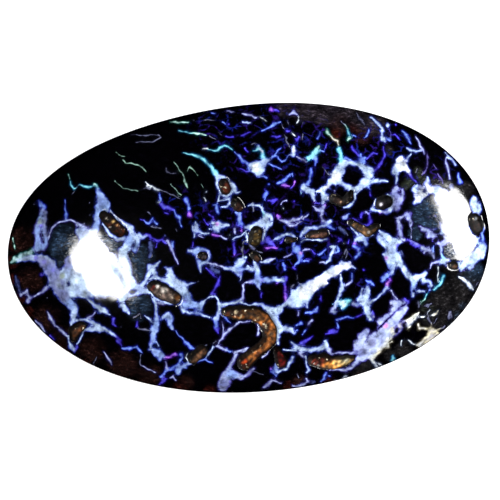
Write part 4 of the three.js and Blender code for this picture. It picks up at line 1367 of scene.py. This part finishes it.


# Ironstone: near black and smooth, and where the mask says mottled with its local tint, which along the
# top rim and about the two mirrored lights is a painted sheen and haze, with streaky grains that are
# rougher and stand up a little.
def buildIronstoneGroup():
    group, source, result = newGroup(
        "ironstone",
        [("Place", "vector", None), ("Dark", "colour", (0, 0, 0, 1)), ("Tint", "colour", (0, 0, 0, 1)),
         ("Mask", "float", 0.0), ("Smoothest", "float", 0.09), ("Roughest", "float", 0.3),
         ("Relief", "float", 0.3)],
        [("Color", "colour"), ("Roughness", "float"), ("Gloss", "float"), ("Height", "float")])
    place = source.outputs["Place"]
    patch = doRange(group, doNoise(group, place, 1300.0, 3.0, 0.6), 0.35, 0.65, 0.3, 1.2)
    mask = doMath(group, "MULTIPLY", source.outputs["Mask"], patch, clamp=True)
    colour = doMix(group, mask, source.outputs["Dark"], source.outputs["Tint"])
    grain = doNoise(group, place, 5200.0, 3.0, 0.7, ((0, 0, 0.7), (0.6, 1.3, 1)))
    bright = doMath(group, "POWER", doRange(group, grain, 0.38, 0.72, smooth=False), 3.0)
    light = doMath(group, "MULTIPLY_ADD", bright, 4.0, 0.42)
    group.links.new(doScale(group, colour, light), result.inputs["Color"])
    rough = doRange(group, mask, 0.0, 0.8, source.outputs["Smoothest"], source.outputs["Roughest"])
    group.links.new(rough, result.inputs["Roughness"])
    ridges = doNoise(group, place, 6500.0, 1.0, 0.5, ((0, 0, 0.7), (0.6, 1.3, 1)))
    worn = doRange(group, ridges, 0.5, 0.62, 0.9, 0.0)
    worn = doMath(group, "MULTIPLY", worn, source.outputs["Mask"])
    group.links.new(doMath(group, "SUBTRACT", 1.0, worn), result.inputs["Gloss"])
    steep = doMath(group, "ADD", source.outputs["Mask"], 0.1)
    steep = doMath(group, "MULTIPLY", source.outputs["Relief"], steep)
    group.links.new(doMath(group, "MULTIPLY", ridges, steep), result.inputs["Height"])
    return group


# A faint web of hair-fine veins between the traced ones: walls of small wandering cells, broken into
# patches, blue here and violet there.
def buildWebGroup():
    group, source, result = newGroup(
        "hairVeins",
        [("Place", "vector", None), ("Cells", "float", 1900.0), ("Width", "float", 0.07),
         ("Blue", "colour", (0.02, 0.03, 0.3, 1)), ("Violet", "colour", (0.06, 0.02, 0.3, 1))],
        [("Color", "colour"), ("Mask", "float")])
    place = source.outputs["Place"]
    distance = doCells(group, place, source.outputs["Cells"], 1200.0, 1.0, 0.0008)
    wall = doRange(group, distance, 0.0, source.outputs["Width"], 1.0, 0.0)
    broken = doRange(group, doNoise(group, place, 1500.0, 3.0, 0.7), 0.45, 0.66)
    hue = doRange(group, doNoise(group, place, 900.0, 2.0), 0.42, 0.58)
    colour = doMix(group, hue, source.outputs["Blue"], source.outputs["Violet"])
    group.links.new(colour, result.inputs["Color"])
    group.links.new(doMath(group, "MULTIPLY", wall, broken), result.inputs["Mask"])
    return group


# Veins where none were traced: distance to the walls of wandering cells, kept in patches.
def buildWildVeinGroup():
    group, source, result = newGroup(
        "wildVein",
        [("Place", "vector", None), ("Cells", "float", 700.0), ("Width", "float", 0.08)],
        [("Depth", "float")])
    place = source.outputs["Place"]
    distance = doCells(group, place, source.outputs["Cells"], 500.0, 2.0, 0.0016)
    patches = doRange(group, doNoise(group, place, 260.0, 2.0), 0.42, 0.66)
    width = doMath(group, "MULTIPLY", source.outputs["Width"], patches)
    depth = doMath(group, "SUBTRACT", width, distance)
    group.links.new(doMath(group, "MULTIPLY", depth, 26.0), result.inputs["Depth"])
    return group


# The floor of an open hollow: its own colour in lumps, with painted shade that darkens it up its walls.
def buildHollowGroup():
    group, source, result = newGroup(
        "hollowFloor",
        [("Place", "vector", None), ("Tint", "colour", (1, 1, 1, 1)), ("Inside", "float", 0.0),
         ("Grains", "colour", (1, 1, 1, 1))],
        [("Color", "colour"), ("Mask", "float"), ("Height", "float")])
    place = source.outputs["Place"]
    lumps = doNoise(group, place, 2000.0, 4.0, 0.7)
    light = doRange(group, lumps, 0.36, 0.62, 0.2, 1.35, smooth=False)
    # painted shade: the floor darkens towards the rim, up the walls of the hollow
    wall = doRange(group, source.outputs["Inside"], 0.4, 0.92, 0.05, 1.0)
    grains = doRange(group, doNoise(group, place, 3300.0, 2.0), 0.64, 0.74)
    tint = doMix(group, grains, source.outputs["Tint"], source.outputs["Grains"])
    colour = doScale(group, tint, doMath(group, "MULTIPLY", light, wall))
    group.links.new(colour, result.inputs["Color"])
    group.links.new(doRange(group, source.outputs["Inside"], 0.12, 0.45), result.inputs["Mask"])
    group.links.new(lumps, result.inputs["Height"])
    return group


# A group put into a tree, each input linked to a socket or set to a value.
def placeGroup(tree, group, **values):
    node = tree.nodes.new("ShaderNodeGroup")
    node.node_tree = group
    for name, value in values.items():
        if isinstance(value, bpy.types.NodeSocket):
            tree.links.new(value, node.inputs[name])
        else:
            node.inputs[name].default_value = value
    return node


# One of the stone's point attributes, as a socket.
def readAttribute(tree, name, output):
    node = tree.nodes.new("ShaderNodeAttribute")
    node.attribute_name = name
    return node.outputs[output]


# Colours and gloss of the polished opal and ironstone, the open hollows and the sawn back.
finish = {
    "black": (0.0004, 0.0003, 0.0008, 1),
    "halo": 0.13,             # how far a vein lights up the dark stone beside it
    "backStone": (0.050, 0.034, 0.026),
    "coatRoughness": 0.09,
    "coatIndex": 1.6,
    "bodyIndex": 1.3,
    "veinRoughness": 0.12,
    "blackRoughness": 0.09,
    "patchRoughness": 0.13,
    "relief": 0.22,           # how far the grains of ironstone stand up in the bump
    "bumpDepth": 0.00005,     # metres
    "hollowRoughness": 0.65,
    "backRoughness": 0.7,
    "grains": (0.85, 0.74, 0.52, 1),
    "wildCells": 620.0,       # cells of the veins on the girdle in a metre
    "wildWidth": 0.11,        # share of a cell
    "webCells": 1500.0,       # cells of hair-fine veins in a metre
    "webWidth": 0.13,         # share of a cell
    "webBlue": (0.006, 0.010, 0.15, 1),
    "webViolet": (0.016, 0.006, 0.12, 1),
    "mist": (0.13, 0.17, 0.50, 1),
    "ragged": 3.0,            # pixels by which the edges of the veins are torn
    "dimmest": 0.28,          # how dark the cloudiest opal gets
    "streaks": 0.6,
}


# One material for the whole stone. From the bottom up: ironstone or the sawn back, the glow beside
# the veins, the hair-fine web, the veins, and the floors of the hollows. A clear polish lies on top.
def buildStoneMaterial():
    material = bpy.data.materials.new("opalMatrix")
    material.use_nodes = True
    tree = material.node_tree
    shader = tree.nodes["Principled BSDF"]
    place = tree.nodes.new("ShaderNodeTexCoord").outputs["Object"]
    dome = readAttribute(tree, "dome", "Fac")
    half = readAttribute(tree, "veinHalf", "Fac")
    polished = readAttribute(tree, "polish", "Fac")
    opened = readAttribute(tree, "hollow", "Fac")

    wild = placeGroup(
        tree, buildWildVeinGroup(), Place=place, Cells=finish["wildCells"], Width=finish["wildWidth"])
    traced = placeGroup(
        tree, buildTracedVeinGroup(), Half=half, Step=readAttribute(tree, "veinStep", "Vector"),
        Away=readAttribute(tree, "veinAway", "Fac"), Cut=readAttribute(tree, "noduleDepth", "Fac"))
    onDome = doMath(tree, "MULTIPLY", traced.outputs["Depth"], dome)
    onSide = doMath(tree, "MULTIPLY", wild.outputs["Depth"], doMath(tree, "SUBTRACT", 1.0, dome))
    vein = placeGroup(
        tree, buildVeinGroup(), Place=place, Depth=doMath(tree, "ADD", onDome, onSide), Half=half,
        Core=readAttribute(tree, "coreTint", "Color"), Edge=readAttribute(tree, "edgeTint", "Color"),
        Mist=finish["mist"], Ragged=finish["ragged"], Streaks=finish["streaks"], Halo=finish["halo"],
        Dimmest=finish["dimmest"])
    ironstone = placeGroup(
        tree, buildIronstoneGroup(), Place=place, Dark=finish["black"], Relief=finish["relief"],
        Tint=readAttribute(tree, "stoneTint", "Color"), Mask=readAttribute(tree, "stoneCover", "Fac"),
        Smoothest=finish["blackRoughness"], Roughest=finish["patchRoughness"])
    web = placeGroup(
        tree, buildWebGroup(), Place=place, Cells=finish["webCells"], Width=finish["webWidth"],
        Blue=finish["webBlue"], Violet=finish["webViolet"])
    hollow = placeGroup(
        tree, buildHollowGroup(), Place=place, Tint=readAttribute(tree, "hollowTint", "Color"),
        Inside=opened, Grains=finish["grains"])
    veinMask = vein.outputs["Mask"]

    colour = doMix(tree, polished, finish["backStone"], ironstone.outputs["Color"])
    glow = doMath(tree, "MULTIPLY", vein.outputs["Glow"], dome)
    colour = doMix(tree, glow, colour, vein.outputs["Halo"])
    shown = doMath(tree, "MULTIPLY", web.outputs["Mask"], readAttribute(tree, "webShare", "Fac"))
    colour = doMix(tree, shown, colour, web.outputs["Color"])
    colour = doMix(tree, veinMask, colour, vein.outputs["Color"])
    colour = doMix(tree, hollow.outputs["Mask"], colour, hollow.outputs["Color"])
    tree.links.new(colour, shader.inputs["Base Color"])

    # the polish is a coat that stops at the hollows and is worn thin by the grains of ironstone
    gloss = doMath(tree, "MAXIMUM", veinMask, ironstone.outputs["Gloss"])
    coat = doMath(tree, "MULTIPLY", polished, doRange(tree, opened, 0.0, 0.05, 1.0, 0.0))
    tree.links.new(doMath(tree, "MULTIPLY", coat, gloss), shader.inputs["Coat Weight"])
    shader.inputs["Coat Roughness"].default_value = finish["coatRoughness"]
    shader.inputs["Coat IOR"].default_value = finish["coatIndex"]
    shader.inputs["IOR"].default_value = finish["bodyIndex"]
    rough = doRange(tree, veinMask, 0.0, 1.0, ironstone.outputs["Roughness"], finish["veinRoughness"])
    rough = doRange(tree, polished, 0.0, 1.0, finish["backRoughness"], rough)
    floorRough = doRange(tree, opened, 0.0, 0.06, 0.0, finish["hollowRoughness"])
    tree.links.new(doMath(tree, "MAXIMUM", rough, floorRough), shader.inputs["Roughness"])

    bump = tree.nodes.new("ShaderNodeBump")
    bump.inputs["Distance"].default_value = finish["bumpDepth"]
    bare = doMath(tree, "SUBTRACT", 1.0, veinMask)
    grain = doMath(tree, "MULTIPLY", ironstone.outputs["Height"], bare)
    lumps = doMath(tree, "MULTIPLY", hollow.outputs["Height"], hollow.outputs["Mask"])
    tree.links.new(doMath(tree, "ADD", grain, lumps), bump.inputs["Height"])
    tree.links.new(bump.outputs["Normal"], shader.inputs["Normal"])
    return material


# The floor's half width in metres, its own colour, and the glow that makes it white to the camera.
paleFloor = {
    "reach": 1.5,
    "colour": (0.9, 0.9, 0.9, 1),
    "roughness": 0.9,
    "glow": 0.55,
}


# A plain pale floor; the polish doesn't mirror it, because in the photo it mirrors a dark room.
def buildFloor():
    reach = paleFloor["reach"]
    mesh = bpy.data.meshes.new("floor")
    mesh.from_pydata([(-reach, -reach, 0), (reach, -reach, 0), (reach, reach, 0), (-reach, reach, 0)],
                     [], [(0, 1, 2, 3)])
    floor = bpy.data.objects.new("floor", mesh)
    bpy.context.scene.collection.objects.link(floor)
    material = bpy.data.materials.new("paleFloor")
    material.use_nodes = True
    shader = material.node_tree.nodes["Principled BSDF"]
    shader.inputs["Base Color"].default_value = paleFloor["colour"]
    shader.inputs["Roughness"].default_value = paleFloor["roughness"]
    shader.inputs["Specular IOR Level"].default_value = 0.0
    shader.inputs["Emission Color"].default_value = (1, 1, 1, 1)
    shader.inputs["Emission Strength"].default_value = paleFloor["glow"]
    mesh.materials.append(material)
    floor.visible_glossy = False


# Two soft boxes that the dome mirrors as its two bright patches. Each line is the direction to the
# box, its width, height and turn, the light it gives off, and the share of it over which it fades.
lighting = {
    "distance": 0.5,          # metres from the stone
    "world": 0.6,
    "boxes": [
        ("leftBox", (-0.460, -0.087, 0.883), 0.130, 0.285, 12.0, 17.0, 0.3),
        ("rightBox", (0.868, 0.167, 0.468), 0.32, 0.37, 15.0, 17.0, 0.2),
    ],
}


# The light falls off from 1 inside to 0 at the edge, by how far out (the fourth-power mean of the
# two coordinates across the box) a place on it lies.
def fadeEdges(light, fade):
    light.use_nodes = True
    tree = light.node_tree
    place = tree.nodes.new("ShaderNodeNewGeometry").outputs["Parametric"]
    split = tree.nodes.new("ShaderNodeSeparateXYZ")
    tree.links.new(place, split.inputs[0])
    powers = []
    for axis in ("X", "Y"):
        away = doMath(tree, "MULTIPLY_ADD", split.outputs[axis], 2.0, -1.0)
        powers.append(doMath(tree, "POWER", doMath(tree, "ABSOLUTE", away), 4.0))
    out = doMath(tree, "POWER", doMath(tree, "ADD", *powers), 0.25)
    strength = doRange(tree, out, 1.0 - fade, 1.0, 1.0, 0.0)
    tree.links.new(strength, tree.nodes["Emission"].inputs["Strength"])


# Both boxes face the stone, and an even white world fills the shadows without being mirrored.
def buildLights():
    for name, direction, width, height, turn, radiance, fade in lighting["boxes"]:
        light = bpy.data.lights.new(name, "AREA")
        light.shape = "RECTANGLE"
        light.size = width
        light.size_y = height
        light.energy = radiance * np.pi * width * height
        fadeEdges(light, fade)
        lamp = bpy.data.objects.new(name, light)
        bpy.context.scene.collection.objects.link(lamp)
        towards = Vector(direction).normalized()
        across = Vector((0, 1, 0)).cross(towards).normalized()
        upward = towards.cross(across)
        facing = Matrix((across, upward, towards)).transposed().to_4x4()
        turned = facing @ Matrix.Rotation(np.radians(turn), 4, "Z")
        lamp.matrix_world = Matrix.Translation(towards * lighting["distance"]) @ turned
    world = bpy.data.worlds.new("studio")
    bpy.context.scene.world = world
    world.use_nodes = True
    background = world.node_tree.nodes["Background"]
    background.inputs["Color"].default_value = (1, 1, 1, 1)
    background.inputs["Strength"].default_value = lighting["world"]
    world.cycles_visibility.glossy = False


# The lens is the sensor's width times the camera's height over the width that the photo shows.
def buildCamera():
    centre = photo["size"] / 2
    camera = bpy.data.cameras.new("camera")
    camera.sensor_width = photo["sensor"]
    camera.lens = photo["sensor"] * photo["cameraHeight"] / (photo["size"] * photo["pixel"])
    camera.clip_start = 0.01
    camera.clip_end = 10
    eye = bpy.data.objects.new("camera", camera)
    bpy.context.scene.collection.objects.link(eye)
    eye.location = ((centre - photo["centreX"]) * photo["pixel"] / 1000,
                    (photo["centreY"] - centre) * photo["pixel"] / 1000,
                    (photo["cameraHeight"] + photo["girdle"]) / 1000)
    bpy.context.scene.camera = eye


buildStone()
buildFloor()
buildLights()
buildCamera()
bpy.context.scene.view_settings.view_transform = "Standard"
print("floor, lights and camera placed")
